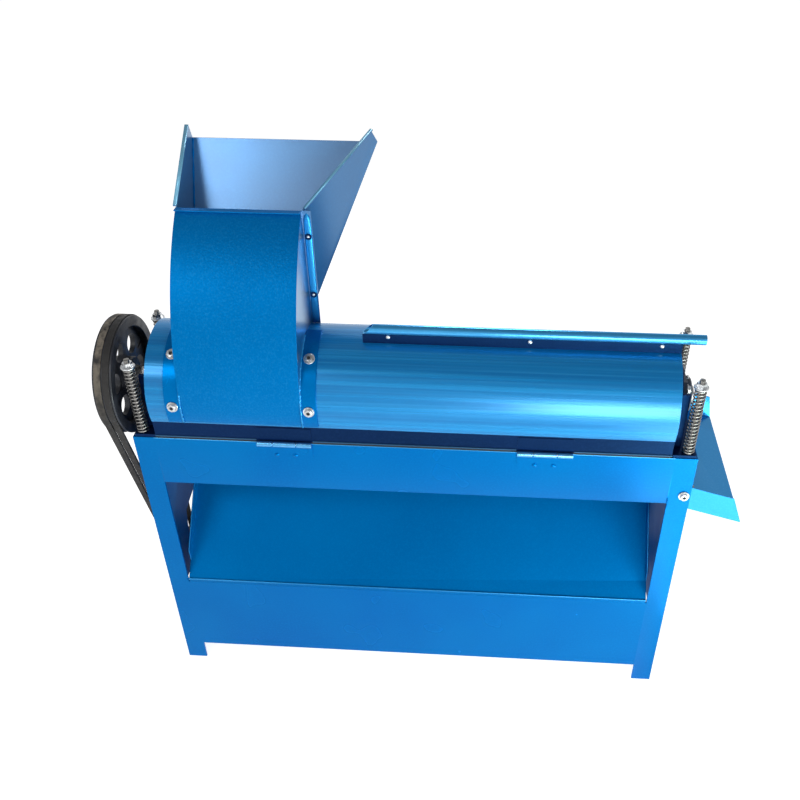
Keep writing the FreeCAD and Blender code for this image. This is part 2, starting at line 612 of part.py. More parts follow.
# The back panel stands on the drum behind the neck, then leans back to the hopper's rear edge

flare_at = "(hopper_flare * (hopper_back_y - neck_rear_y))"
back_height = "(hopper_back_z - back_knee_z) / cos(back_tilt)"
back = new_body("hopper_back_panel", ("neck_left + sheet_wall", "neck_rear_y", "back_knee_z"),
                FreeCAD.Rotation(FreeCAD.Vector(-1, 0, 0), 20), "back_tilt")
back_width = "neck_width - 2 * sheet_wall"
pad(back, "XZ_Plane", [("0", "0"), (back_width, "0"), ("%s + %s" % (back_width, flare_at), back_height),
                       ("0", back_height)], "sheet_wall")
keep(back)
keep(plate("neck_rear_wall", "XZ_Plane", box_corners("0", "0", back_width, "back_knee_z - " + strip_foot_z),
           "sheet_wall", ("neck_left + sheet_wall", "neck_rear_y - sheet_wall", strip_foot_z)))

flare_angle = "atan(1 / hopper_flare)"
flare_run = "((hopper_peak_y - neck_rear_y) / sin(%s))" % flare_angle
flare_back = "((hopper_back_y - neck_rear_y) / sin(%s))" % flare_angle
right_wall = new_body("hopper_right_wall", ("neck_right", "neck_rear_y", "0"), FreeCAD.Rotation(Z_AXIS, 45),
                      flare_angle)
knee_rise = "(hopper_back_z - back_knee_z) / %s" % flare_back
peak_rise = "(hopper_peak_z - neck_top) / %s" % flare_run
clear = "1.5 * sheet_wall"
pad(right_wall, "XZ_Plane", [(clear, "back_knee_z + %s * %s" % (clear, knee_rise)), (flare_back, "hopper_back_z"),
                             (flare_run, "hopper_peak_z"), (clear, "neck_top + %s * %s" % (clear, peak_rise))],
    "sheet_wall", start="-sheet_wall")
pad(right_wall, "XZ_Plane", [
    (clear, "neck_top + %s * %s" % (clear, peak_rise)), (flare_run, "hopper_peak_z"),
    (flare_run, "hopper_peak_z + sheet_wall"), (clear, "neck_top + %s * %s + sheet_wall" % (clear, peak_rise))],
    "wall_lip + sheet_wall", start="-sheet_wall - wall_lip")
keep(right_wall)

cover_screw_seats = [(("neck_right + strip_width / 2", "neck_rear_y - sheet_wall", height), TO_FRONT, None, "sheet_wall")
                     for height in ("back_knee_z + 35", "neck_top - 46")]
keep(drilled("neck_right_wall", neck_right, [hole_for(*seat, "screw_shank") for seat in cover_screw_seats]))

# Lifting rail along the cover: a folded strip with a rolled edge that runs past the right end

rail_foot_z = "drum_z + sqrt(cover_radius ^ 2 - (drum_y - rail_y) ^ 2)"
rail_back_z = "drum_z + sqrt(cover_radius ^ 2 - (drum_y - rail_y - 3) ^ 2)"
rail_axis_z = "%s + rail_rise + rail_radius" % rail_foot_z
rail_strip = plate("cover_rail_strip", "YZ_Plane", [
    ("0", rail_foot_z, "-cover_radius"), ("3", rail_back_z), ("3", "%s + rail_rise" % rail_foot_z),
    ("0", "%s + rail_rise" % rail_foot_z)], "cover_end - rail_start", ("rail_start", "rail_y", "0"))
rail = new_body("cover_rail_tube", ("rail_start", "rail_y + 3", rail_axis_z), ALONG_X)
revolve(rail, [("rail_radius - rail_wall", "0"), ("rail_radius", "0"),
               ("rail_radius", "cover_end + rail_overhang - rail_start"),
               ("rail_radius - rail_wall", "cover_end + rail_overhang - rail_start")])
keep(rail)
rail_screw_seats = [((place, "rail_y", "%s + rail_rise - 5" % rail_foot_z), TO_FRONT, None, "2.5")
                    for place in ("rail_start + 45", "rail_start + 293", "cover_end - 35")]
keep(drilled("cover_rail_strip", rail_strip, [hole_for(*seat, "screw_shank") for seat in rail_screw_seats]),
     group("cover_screws", [screw(*seat) for seat in cover_screw_seats + rail_screw_seats]))

# Hinges: the frame's leaf holds the outer knuckles, the cover's leaf the middle one


def knuckle(body, start, length):
    """One knuckle about the body's origin, along X, bored for the pin."""
    sketch = new_sketch(body, "YZ_Plane", start)
    draw_circle(sketch, "0", "0", "knuckle_radius")
    draw_circle(sketch, "0", "0", "hinge_pin_radius + fit_gap")
    feature = body.newObject("PartDesign::Pad", body.Name + "_knuckle")
    feature.Profile = sketch
    bind(feature, Length=length)
    body.Tip = feature


def hinge_leaf(label, middle, own_side, spans):
    """A leaf with its knuckles. The frame's leaf hangs below the pin and the cover's stands above."""
    body = new_body(label, (middle, "-hinge_out", "hinge_z"))
    for start, length in spans:
        knuckle(body, start, length)
    if own_side == "frame":
        near, far = "hinge_out - leaf_wall", "hinge_out"
        edge, tail, tab = "-hinge_up - 3", "-leaf_height", "0"
    else:
        near, far = "hinge_out + drum_y - flange_out - leaf_wall", "hinge_out + drum_y - flange_out"
        edge, tail, tab = "flange_bottom - hinge_z + 2.2", "leaf_height - 4", "0"
    pad(body, "YZ_Plane", box_corners(near, edge, far, tail), "hinge_length", start="-hinge_length / 2")
    for start, length in spans:
        root = far if own_side == "frame" else near + " + 1.2"
        pad(body, "YZ_Plane", box_corners(near, tab, root, edge), length, start=start)
    return body


outer_span = "(hinge_length - hinge_middle) / 2 - knuckle_gap"
frame_spans = [("-hinge_length / 2", outer_span), ("hinge_middle / 2 + knuckle_gap", outer_span)]
cover_spans = [("-hinge_middle / 2", "hinge_middle")]
hinge_places = ("hinge_left_x", "hinge_right_x")
frame_leaves = group("hinge_frame_leaves", [
    hinge_leaf("frame_leaf", middle, "frame", frame_spans) for middle in hinge_places])
keep(group("hinge_cover_leaves", [hinge_leaf("cover_leaf", middle, "cover", cover_spans) for middle in hinge_places]))
keep(group("hinge_pins", [
    rod("hinge_pin", "hinge_pin_radius", "hinge_length",
        (middle + " - hinge_length / 2", "-hinge_out", "hinge_z"), ALONG_X)
    for middle in hinge_places]))
screw_seats = [((middle + offset, "-leaf_wall", "frame_height - 27"), TO_FRONT, None, "leaf_wall + beam_wall")
               for middle in hinge_places for offset in (" - hinge_screw", " + hinge_screw")]
screw_holes = [hole_for(*seat, "screw_shank") for seat in screw_seats]
keep(group("hinge_screws", [screw(*seat) for seat in screw_seats]),
     drilled("hinge_frame_leaves", frame_leaves, screw_holes), drilled("front_beam", front_beam, screw_holes))

# Bearing carriers: a flanged web on a foot that slides on two studs, pressed down by springs


bearing_bolt_spots = [(across, up) for across in (" - bearing_half + 16", " + bearing_half - 16")
                      for up in (" - bearing_half + 16", " + bearing_half - 16")]


def carrier(label, web_x, outward, stud_reach, foot_reach):
    """A carrier whose web starts at web_x and whose foot and flanges point outwards along X."""
    body = new_body(label, (web_x, "0", "frame_height + running_gap"))

    def side(reach):
        """A distance from the web's inner face, outwards."""
        return reach if outward > 0 else "carrier_wall - (%s)" % reach

    def low(first, second):
        """Two places along X, the lower one first."""
        return (first, second) if outward > 0 else (second, first)

    front, rear, shoulder = "drum_y - carrier_width / 2", "drum_y + carrier_width / 2", "carrier_height - 30"
    pad(body, "YZ_Plane", [(front, "0"), (rear, "0"), (rear, shoulder), (rear + " - 30", "carrier_height"),
                           (front + " + 30", "carrier_height"), (front, shoulder)],
        "carrier_wall", holes=[("drum_y", "drum_rise - running_gap", "bearing_boss * 0.6")])
    near, far = low(side("0"), side(foot_reach))
    pad(body, "XY_Plane", box_corners(near, "stud_front_y - 11", far, "stud_rear_y + 11"), "foot_wall", holes=[
        (side(stud_reach), place, "stud_radius + stud_gap") for place in ("stud_front_y", "stud_rear_y")])
    near, far = low(side("0"), side("carrier_flange"))
    for start in (front, rear + " - carrier_wall"):
        pad(body, "XZ_Plane", box_corners(near, "0", far, shoulder), "carrier_wall", start=start)
    return body


left_carrier = carrier("bearing_carrier_left", "carrier_left_x", -1,
                       "carrier_left_x + carrier_wall - stud_inset", "carrier_left_x + carrier_wall - leg_wall")
right_carrier = carrier("bearing_carrier_right", "carrier_right_x", 1,
                        "frame_length - stud_inset - carrier_right_x", "frame_length - leg_wall - carrier_right_x")


def bearing_unit(label, seat_x, outward):
    """A square flanged bearing unit with a round boss, bored to run on the shaft."""
    body = new_body(label, (seat_x, "drum_y", "drum_z"))
    start = "0" if outward > 0 else "-bearing_base"
    pad(body, "YZ_Plane", [("-bearing_half", "-bearing_half + 14"), ("-bearing_half + 14", "-bearing_half"),
                           ("bearing_half - 14", "-bearing_half"), ("bearing_half", "-bearing_half + 14"),
                           ("bearing_half", "bearing_half - 14"), ("bearing_half - 14", "bearing_half"),
                           ("-bearing_half + 14", "bearing_half"), ("-bearing_half", "bearing_half - 14")],
        "bearing_base", start=start, holes=[("0", "0", "shaft_radius + fit_gap")])
    sketch = new_sketch(body, "YZ_Plane", "bearing_base" if outward > 0 else "-bearing_depth")
    draw_circle(sketch, "0", "0", "bearing_boss")
    draw_circle(sketch, "0", "0", "shaft_radius + fit_gap")
    boss = body.newObject("PartDesign::Pad", label + "_boss")
    boss.Profile = sketch
    bind(boss, Length="bearing_depth - bearing_base")
    body.Tip = boss
    return body


bearing_units = group("bearing_units", [bearing_unit("bearing_unit", "carrier_left_x", -1),
                                        bearing_unit("bearing_unit", "carrier_right_x + carrier_wall", 1)])
bearing_seats = [((seat, "drum_y" + across, "drum_z" + up), rotation, None, "bearing_base + carrier_wall")
                 for seat, rotation in (("carrier_left_x - bearing_base", TO_LEFT),
                                        ("carrier_right_x + carrier_wall + bearing_base", TO_RIGHT))
                 for across, up in bearing_bolt_spots]
bearing_holes = [hole_for(*seat) for seat in bearing_seats]
keep(drilled("bearing_carrier_left", left_carrier, bearing_holes),
     drilled("bearing_carrier_right", right_carrier, bearing_holes),
     drilled("bearing_units", bearing_units, bearing_holes),
     group("bearing_bolts", [bolt(*seat) for seat in bearing_seats]))

# Studs, springs, washers and nuts at the four corners of the carriers

stud_places = [(x, y) for x in ("stud_inset", "frame_length - stud_inset") for y in ("stud_front_y", "stud_rear_y")]
stud_foot = "frame_height - end_rail_wall - 10"
keep(group("carrier_studs", [rod("stud", "stud_radius", "stud_top - (%s)" % stud_foot, (x, y, stud_foot))
                             for x, y in stud_places]))
keep(group("spring_washers", [
    tube("spring_washer", "washer_radius", "stud_radius + fit_gap", "washer_wall", (x, y, "spring_top"))
    for x, y in stud_places]))


def stud_nut(at):
    """A hexagon nut on a stud."""
    body = new_body("stud_nut", at)
    corners = [("nut_radius * cos(%d)" % turn, "nut_radius * sin(%d)" % turn) for turn in range(0, 360, 60)]
    pad(body, "XY_Plane", corners, "nut_height", holes=[("0", "0", "stud_radius + fit_gap")])
    return body


keep(group("stud_nuts", [stud_nut((x, y, height)) for x, y in stud_places
                         for height in ("spring_top + washer_wall", "frame_height - end_rail_wall - nut_height")]))

spring_foot = "frame_height + running_gap + foot_wall"


def coil_spring(at):
    """A spring of square wire, wound up along Z in short straight runs with mitred corners."""
    wire, middle = value("spring_wire"), value("spring_radius - spring_wire / 2")
    rise = value("spring_top - (%s) - spring_wire - 2 * spring_play" % spring_foot)
    count = round(value("spring_turns * spring_steps"))
    turn = 2 * math.pi / value("spring_steps")
    path = [FreeCAD.Vector(middle * math.cos(turn * run), middle * math.sin(turn * run), wire / 2 + rise * run / count)
            for run in range(count + 1)]
    across, up = X_AXIS * (wire / 2), Z_AXIS * (wire / 2)
    section = [path[0] - across - up, path[0] + across - up, path[0] + across + up, path[0] - across + up]
    spring = doc.addObject("Part::Feature", "carrier_spring")
    mitred = 1
    spring.Shape = Part.makePolygon(path).makePipeShell([Part.makePolygon(section + section[:1])], True, False, mitred)
    return put(spring, at)


keep(group("carrier_springs", [coil_spring((x, y, spring_foot + " + spring_play")) for x, y in stud_places]))

# Rotor: shaft, drum with end discs, helical beater ribs

shaft_start = "-pulley_gap - pulley_width"
shaft_end = "carrier_right_x + carrier_wall + bearing_depth + 6"
keep(rod("rotor_shaft", "shaft_radius", "(%s) - (%s)" % (shaft_end, shaft_start),
         (shaft_start, "drum_y", "drum_z"), ALONG_X))
drum = new_body("rotor_drum", ("rotor_start", "drum_y", "drum_z"), ALONG_X)
bore = "shaft_radius"
shell_inner = "rotor_radius - rotor_wall"
revolve(drum, [(bore, "0"), ("rotor_radius", "0"), ("rotor_radius", "rotor_length"), (bore, "rotor_length"),
               (bore, "rotor_length - rotor_disc"), (shell_inner, "rotor_length - rotor_disc"),
               (shell_inner, "rotor_disc"), (bore, "rotor_disc")])
keep(drum)

beaters = new_body("rotor_beater_ribs", ("rotor_start + 4", "drum_y", "drum_z"), ALONG_X)
sketch = new_sketch(beaters, "XZ_Plane")
draw_outline(sketch, box_corners("rotor_radius", "0", "rotor_radius + beater_height", "beater_width"))
beater = beaters.newObject("PartDesign::AdditiveHelix", "beater_sweep")
beater.Profile = sketch
beater.ReferenceAxis = (sketch, ["V_Axis"])
beater.Mode = 0
bind(beater, Pitch="beater_pitch", Height="rotor_length - beater_width - 8")
doc.recompute()
ring = beaters.newObject("PartDesign::PolarPattern", "beater_ring")
ring.Originals = [beater]
ring.Axis = (plane_of(beaters, "Z_Axis"), [""])
ring.Angle = 360
bind(ring, Occurrences="beater_count")
beaters.Tip = ring
keep(beaters)

# Grooved pulleys and the two belts between them


def rim_corners(rim):
    """A pulley's rim with its two V grooves, from the left face to the right one."""
    corners = [(rim, "-pulley_width / 2")]
    for middle in ("-groove_pitch / 2", "groove_pitch / 2"):
        corners += [(rim, middle + " - belt_width / 2 - groove_play"),
                    (rim + " - groove_floor", middle + " - belt_bottom / 2 - groove_play"),
                    (rim + " - groove_floor", middle + " + belt_bottom / 2 + groove_play"),
                    (rim, middle + " + belt_width / 2 + groove_play")]
    return corners + [(rim, "pulley_width / 2")]


big = new_body("rotor_pulley", ("pulley_mid_x", "drum_y", "drum_z"), ALONG_X)
web_face = "pulley_width / 2 - web_wall"
dish_radius = "pulley_radius - rim_depth"
revolve(big, [("shaft_radius", "-pulley_width / 2"), ("hub_radius", "-pulley_width / 2"), ("hub_radius", web_face),
              (dish_radius, web_face), (dish_radius, "-pulley_width / 2")]
        + rim_corners("pulley_radius") + [("shaft_radius", "pulley_width / 2")])
pocket(big, "XY_Plane", circles=[
    ("web_hole_circle * cos(%d)" % turn, "web_hole_circle * sin(%d)" % turn, "web_hole_radius")
    for turn in range(45, 360, 60)])
small = new_body("motor_pulley", ("pulley_mid_x", "motor_y", "motor_z"), ALONG_X)
revolve(small, [("motor_shaft_radius", "-pulley_width / 2")] + rim_corners("motor_pulley_radius")
        + [("motor_shaft_radius", "pulley_width / 2")])
keep(big, small)


def belt_shape(middle_x):
    """One V-belt swept round both pulleys: tangent runs and two arcs at the belt's outer face."""
    big_centre = FreeCAD.Vector(0, value("drum_y"), value("drum_z"))
    small_centre = FreeCAD.Vector(0, value("motor_y"), value("motor_z"))
    radii = [value("pulley_radius + belt_proud"), value("motor_pulley_radius + belt_proud")]
    way = small_centre - big_centre
    span = way.Length
    way.normalize()
    across = way.cross(X_AXIS)
    lean = math.asin((radii[0] - radii[1]) / span)
    points = []
    for centre, radius, sign in ((big_centre, radii[0], 1), (small_centre, radii[1], 1),
                                 (small_centre, radii[1], -1), (big_centre, radii[0], -1)):
        points.append(centre + way * (radius * math.sin(lean)) + across * (sign * radius * math.cos(lean)))
    path = Part.Wire([Part.LineSegment(points[0], points[1]).toShape(),
                      Part.Arc(points[1], small_centre + way * radii[1], points[2]).toShape(),
                      Part.LineSegment(points[2], points[3]).toShape(),
                      Part.Arc(points[3], big_centre - way * radii[0], points[0]).toShape()])
    inward = (big_centre - points[0]).normalize()
    half_top, half_low, deep = value("belt_width / 2"), value("belt_bottom / 2"), value("belt_depth")
    section = Part.makePolygon([points[0] + X_AXIS * -half_top, points[0] + X_AXIS * half_top,
                                points[0] + X_AXIS * half_low + inward * deep,
                                points[0] + X_AXIS * -half_low + inward * deep, points[0] + X_AXIS * -half_top])
    solid = path.makePipeShell([section], True, False)
    solid.translate(X_AXIS * middle_x)
    return solid


belts = doc.addObject("Part::Feature", "drive_belts")
belts.Label = "drive_belts"
belts.Shape = Part.makeCompound([belt_shape(value("pulley_mid_x - groove_pitch / 2")),
                                 belt_shape(value("pulley_mid_x + groove_pitch / 2"))])
put(belts, ("0", "0", "0"))
keep(belts)

# Motor on a plate over two rails

rail_places = ["motor_start + 37.5", "motor_start + motor_length - 82.5"]
motor_seats = [((place, "motor_y %s (motor_radius + 5)" % sign, "motor_deck + motor_plate_wall + motor_foot"),
                ALONG_Z, None, "motor_plate_wall + motor_foot + 4")
               for place in rail_places for sign in ("-", "+")]
motor_holes = [hole_for(*seat) for seat in motor_seats]
motor_rails = group("motor_rails", [
    plate("motor_rail", "YZ_Plane", box_corners("0", "0", tray_run + " - beam_wall", "motor_rail_height"), "motor_rail_width",
          (place + " - motor_rail_width / 2", "beam_wall", "motor_deck - motor_rail_height")) for place in rail_places])
plate_half = "motor_radius + 25"
base_plate = plate("motor_base_plate", "XY_Plane", box_corners("0", "-(%s)" % plate_half, "motor_length", plate_half),
                   "motor_plate_wall", ("motor_start", "motor_y", "motor_deck"))
foot_low = "motor_deck + motor_plate_wall - motor_z"
motor = new_body("motor_housing", ("motor_start", "motor_y", "motor_z"), ALONG_X)
motor_bore = "motor_shaft_radius + fit_gap"
barrel_end = "motor_length - 46"
revolve(motor, [(motor_bore, "0"), ("motor_radius * 0.5", "0"), ("motor_radius * 0.9", "14"),
                ("motor_radius", "14"), ("motor_radius", "motor_length - 60"), ("motor_radius * 0.9", barrel_end),
                (motor_bore, barrel_end)])
for start in ("20", "motor_length - 100"):
    pad(motor, "XY_Plane", box_corners("-motor_radius - 16", foot_low, "motor_radius + 16", foot_low + " + motor_foot"),
        "35", start=start)
    pad(motor, "XY_Plane", box_corners("-motor_radius + 6", foot_low + " + motor_foot", "motor_radius - 6", "-motor_radius * 0.5"),
        "35", start=start)
pad(motor, "XY_Plane", box_corners("-24", "motor_radius * 0.5", "24", "motor_radius + 2"), "66", start="60")
keep(drilled("motor_rails", motor_rails, motor_holes), drilled("motor_base_plate", base_plate, motor_holes),
     drilled("motor_housing", motor, motor_holes), group("motor_bolts", [bolt(*seat) for seat in motor_seats]))
fan = new_body("motor_fan_cover", ("motor_start + motor_length - 60", "motor_y", "motor_z"), ALONG_X)
revolve(fan, [("motor_radius", "0"), ("motor_radius + 2", "0"), ("motor_radius + 2", "52"), ("motor_radius - 8", "60"),
              ("10", "60"), ("10", "58"), ("motor_radius - 10", "58"), ("motor_radius", "50")])
keep(fan)
keep(plate("motor_terminal_box", "XY_Plane", box_corners("0", "-34", "86", "34"), "34",
           ("motor_start + 50", "motor_y", "motor_z + motor_radius + 2")))
keep(rod("motor_shaft", "motor_shaft_radius", "pulley_gap + pulley_width + motor_start + motor_length - 62",
         (shaft_start, "motor_y", "motor_z"), ALONG_X))

# Shell outlet: an inner chute under the open end of the concave and the spout outside the frame

inner_start = "grate_start + grate_length + 6"
inner_run = "frame_length - (%s)" % inner_start
inner = new_body("inner_chute", (inner_start, inner_chute_low, "chute_z"))
inner_rise = "(%s) * tan(chute_slope)" % inner_run
pad(inner, "XZ_Plane", [("0", "%s - sheet_wall" % inner_rise), ("0", inner_rise), (inner_run, "0"),
                        (inner_run, "-sheet_wall")], inner_chute_width)
keep(inner)

spout = new_body("discharge_chute", ("frame_length", "0", "chute_z"))
for start, rake in (("0", "chute_rake"), ("frame_depth - sheet_wall", "chute_rear_rake")):
    pad(spout, "XZ_Plane", [
        ("0", "0"), ("chute_reach", "-(chute_drop)"),
        ("chute_reach - " + rake, "chute_side - (chute_reach - %s) * tan(chute_slope)" % rake), ("0", "chute_side")],
        "sheet_wall", start=start)
pad(spout, "XZ_Plane", [("0", "0"), ("0", "-sheet_wall"), ("chute_reach", "-(chute_drop) - sheet_wall"),
                        ("chute_reach", "-(chute_drop)")], "frame_depth")
for start in ("0", "frame_depth - leg_width + 4"):
    pad(spout, "XZ_Plane", box_corners("0", "-sheet_wall", "sheet_wall", "chute_side"), "leg_width - 4", start=start)
front_seat = ("frame_length - 12", "0", "chute_z + 29"), TO_FRONT, None, "leg_wall"
spout_seats = [(("frame_length + sheet_wall", place, "chute_z + 29"), TO_RIGHT, None, "leg_wall + sheet_wall")
               for place in ("leg_width / 2 + 2", "frame_depth - leg_width / 2 - 2")]
spout_holes = [hole_for(*seat) for seat in spout_seats]
keep(drilled("leg_front_right", legs["leg_front_right"], spout_holes + [hole_for(*front_seat)]),
     drilled("leg_rear_right", legs["leg_rear_right"], spout_holes),
     drilled("discharge_chute", spout, spout_holes),
     group("chute_bolts", [bolt(*seat) for seat in [front_seat] + spout_seats]))

# Build, move the datum under the middle of the machine, check and write

doc.recompute()
whole = FreeCAD.BoundBox()
for piece in SUBPARTS:
    whole.add(piece.Shape.optimalBoundingBox(True, False))
for name, middle in (("datum_x", (whole.XMin + whole.XMax) / 2), ("datum_y", (whole.YMin + whole.YMax) / 2)):
    sizes.set(name, str(round(middle, 3)))
doc.recompute()

for thing in doc.Objects:
    if "Invalid" in thing.State or "Error" in thing.State:
        raise RuntimeError("%s failed: %s" % (thing.Label, thing.State))
for piece in SUBPARTS:
    if piece.Shape.isNull() or not piece.Shape.isValid():
        raise RuntimeError("%s has no valid shape" % piece.Label)

os.makedirs("parts", exist_ok=True)
for piece in SUBPARTS:
    piece.Shape.exportStep("parts/%s.step" % piece.Label)
print("%d sub-parts, datum %.3f %.3f, box %s" % (len(SUBPARTS), value("datum_x"), value("datum_y"), whole))
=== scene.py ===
# %% [markdown]
# A drum-type nut shelling machine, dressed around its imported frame. The frame holds every piece at
# its real size, and this script gives the pieces their finish: glossy blue enamel on sheet steel,
# black cast pulleys, zinc fasteners, spring wire and rubber belts. Everything below is worked out in
# millimetres from the frame's left front corner on the floor, and turned into metres at the end.
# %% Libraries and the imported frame
import math
import json
import bmesh
import bpy
import numpy as np
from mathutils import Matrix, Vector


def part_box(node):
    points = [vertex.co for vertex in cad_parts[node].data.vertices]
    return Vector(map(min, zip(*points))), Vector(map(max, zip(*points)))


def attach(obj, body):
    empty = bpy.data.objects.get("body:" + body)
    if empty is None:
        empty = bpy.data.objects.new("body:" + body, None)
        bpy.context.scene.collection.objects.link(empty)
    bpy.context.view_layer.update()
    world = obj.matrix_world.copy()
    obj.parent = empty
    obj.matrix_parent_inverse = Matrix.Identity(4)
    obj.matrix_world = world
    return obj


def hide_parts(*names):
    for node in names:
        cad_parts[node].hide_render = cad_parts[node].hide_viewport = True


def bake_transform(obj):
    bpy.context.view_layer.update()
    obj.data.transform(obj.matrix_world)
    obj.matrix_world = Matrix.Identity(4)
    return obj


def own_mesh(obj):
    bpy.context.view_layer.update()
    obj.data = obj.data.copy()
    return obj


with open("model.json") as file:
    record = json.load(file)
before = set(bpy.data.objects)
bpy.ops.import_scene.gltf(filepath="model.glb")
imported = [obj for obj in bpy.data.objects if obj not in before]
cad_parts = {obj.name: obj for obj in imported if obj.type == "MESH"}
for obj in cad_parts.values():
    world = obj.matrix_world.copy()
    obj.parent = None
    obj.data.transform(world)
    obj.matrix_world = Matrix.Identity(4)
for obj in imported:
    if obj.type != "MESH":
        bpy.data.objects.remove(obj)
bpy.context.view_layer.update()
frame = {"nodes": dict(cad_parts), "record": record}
record = frame["record"]
MM = 0.001
CORNER = np.array([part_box("leg_front_left")[0].x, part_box("leg_front_left")[0].y, 0.0])
SLOT_OF = {part["node"]: part["material_slot"] for part in record["subparts"]}
BODY_OF = {node: body for body, nodes in record["behaviour"]["bodies"].items() for node in nodes}


def span(node):
    """A node's lowest and highest corner, in millimetres from the frame's left front corner."""
    low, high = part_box(node)
    return (np.array(low) - CORNER) / MM, (np.array(high) - CORNER) / MM


# %% [markdown]
# The camera stands in front of the machine, a little right of its middle, and looks down on it. Its
# place and turns come from the frame's straight edges in the photograph. The picture's centre of
# projection isn't its middle, so the lens is shifted by the same twentieth of the width both ways.
# %% Camera
camera_data = bpy.data.cameras.new("camera")
camera_data.sensor_width = 36.0
camera_data.lens = 40.77
camera_data.shift_x = -0.050
camera_data.shift_y = 0.050
camera = bpy.data.objects.new("camera", camera_data)
camera.location = (0.1088, -1.4431, 1.6395)
camera.rotation_euler = (math.radians(52.295), 0.0, math.radians(3.70))
bpy.context.scene.collection.objects.link(camera)
bpy.context.scene.camera = camera
bpy.context.scene.view_settings.view_transform = "Standard"
print("camera at", tuple(round(v, 3) for v in camera.location), "lens", camera_data.lens)

# %% [markdown]
# The drum, neck, beams and feet are dressed with few values of their own, because the frame tells
# where everything is. These are the ones that several pieces share: the drum's axis and radius come
# from the shaft and the cover, and the sheet and strap gauges are those of the folded steel.
# %% Shared sizes
shaft_low, shaft_high = span("rotor_shaft")
DRUM_Y, DRUM_Z = (shaft_low[1] + shaft_high[1]) / 2, (shaft_low[2] + shaft_high[2]) / 2
cover_low, cover_high = span("drum_cover")
COVER_RADIUS = (cover_high[1] - cover_low[1]) / 2
SHEET = 2.0
STRAP = 3.0
FRAME_TOP = span("front_beam")[1][2]
FRAME_LENGTH = span("leg_front_right")[1][0]
print("drum axis", round(DRUM_Y, 2), round(DRUM_Z, 2), "cover radius", round(COVER_RADIUS, 2))

# %% [markdown]
# A finish is a small node tree on one Principled shader. Enamel needs three things to look like
# paint and not like plastic: a colour that wanders a little, a roughness that isn't even, and the
# fine swell that sprayed paint keeps, called orange peel. Object coordinates carry all three, so
# that the pattern stays on the piece when a joint moves it. Single numbers are set on the shader.
# %% Finish helpers


class Finish:
    """A material with a few short commands for its nodes."""

    def __init__(self, name, colour, roughness, metallic=0.0, specular=0.5, tint=(1, 1, 1)):
        self.material = bpy.data.materials.new(name)
        self.material.use_nodes = True
        self.tree = self.material.node_tree
        self.shader = self.tree.nodes["Principled BSDF"]
        self.shader.inputs["Base Color"].default_value = (*colour, 1.0)
        self.shader.inputs["Roughness"].default_value = roughness
        self.shader.inputs["Metallic"].default_value = metallic
        self.shader.inputs["Specular IOR Level"].default_value = specular
        self.shader.inputs["Specular Tint"].default_value = (*tint, 1.0)
        self.material.diffuse_color = (*colour, 1.0)
        self.place = self.tree.nodes.new("ShaderNodeTexCoord").outputs["Object"]

    def join(self, source, target):
        """Links an output to an input."""
        self.tree.links.new(source, target)

    def noise(self, scale, detail=3.0, stretch=(1, 1, 1)):
        """Clouds from 0 to 1 over the object, drawn out along an axis where stretch is under 1."""
        mapping = self.tree.nodes.new("ShaderNodeMapping")
        mapping.inputs["Scale"].default_value = stretch
        self.join(self.place, mapping.inputs["Vector"])
        node = self.tree.nodes.new("ShaderNodeTexNoise")
        node.inputs["Scale"].default_value = scale
        node.inputs["Detail"].default_value = detail
        self.join(mapping.outputs["Vector"], node.inputs["Vector"])
        return node.outputs["Fac"]

    def ramp(self, source, low, high, start=0.0, end=1.0):
        """Spreads a value so that low becomes start and high becomes end."""
        node = self.tree.nodes.new("ShaderNodeMapRange")
        for name, amount in (("From Min", low), ("From Max", high), ("To Min", start), ("To Max", end)):
            node.inputs[name].default_value = amount
        self.join(source, node.inputs["Value"])
        return node.outputs["Result"]

    def times(self, first, second):
        """The product of two values."""
        node = self.tree.nodes.new("ShaderNodeMath")
        node.operation = "MULTIPLY"
        self.join(first, node.inputs[0])
        self.join(second, node.inputs[1])
        return node.outputs["Value"]

    def colours(self, share, first, second):
        """A mix of two colours, each a colour or an output, by a share from 0 to 1."""
        node = self.tree.nodes.new("ShaderNodeMix")
        node.data_type = "RGBA"
        self.join(share, node.inputs["Factor"])
        for index, colour in ((6, first), (7, second)):
            if isinstance(colour, tuple):
                node.inputs[index].default_value = (*colour, 1.0)
            else:
                self.join(colour, node.inputs[index])
        return node.outputs[2]

    def paint(self, colour):
        """Sends a colour to the shader."""
        self.join(colour, self.shader.inputs["Base Color"])

    def rough(self, value):
        """Sends a roughness to the shader."""
        self.join(value, self.shader.inputs["Roughness"])

    def swell(self, height, distance, strength=0.5):
        """Bumps the surface by a height pattern. Calls after the first add to it."""
        node = self.tree.nodes.new("ShaderNodeBump")
        node.inputs["Strength"].default_value = strength
        node.inputs["Distance"].default_value = distance
        self.join(height, node.inputs["Height"])
        normal = self.shader.inputs["Normal"]
        if normal.is_linked:
            self.join(normal.links[0].from_socket, node.inputs["Normal"])
        self.join(node.outputs["Normal"], normal)


# %% [markdown]
# The machine's enamel is one bright blue with a soft mottle and orange peel. One recipe with a deeper
# and a paler tone gives all of it, and the pieces differ in tone and gloss. Edges, rims, beads and the
# chute are paler, partly because spray paint is thin on an edge and mostly as a painted highlight
# where an edge shines. The tray and the side panels are darker and duller as painted shade, because
# they lie in the shade, and the closing joint is the darkest.
#
# The hopper's sheets stand so steeply to the view that they mirror the bright surroundings more than
# the rest, so they get a clear coat over a greyer blue: the coat mirrors them, and the greyer blue is a
# painted reflection of them. The rolled drum shows fine streaks along its length, left by the rolling
# and by the spray gun, so its noise is stretched along X.
# %% Enamel finishes
ENAMEL = (0.0, 0.155, 0.470)
BLUE_GLINT = (0.0, 0.5, 1.0)


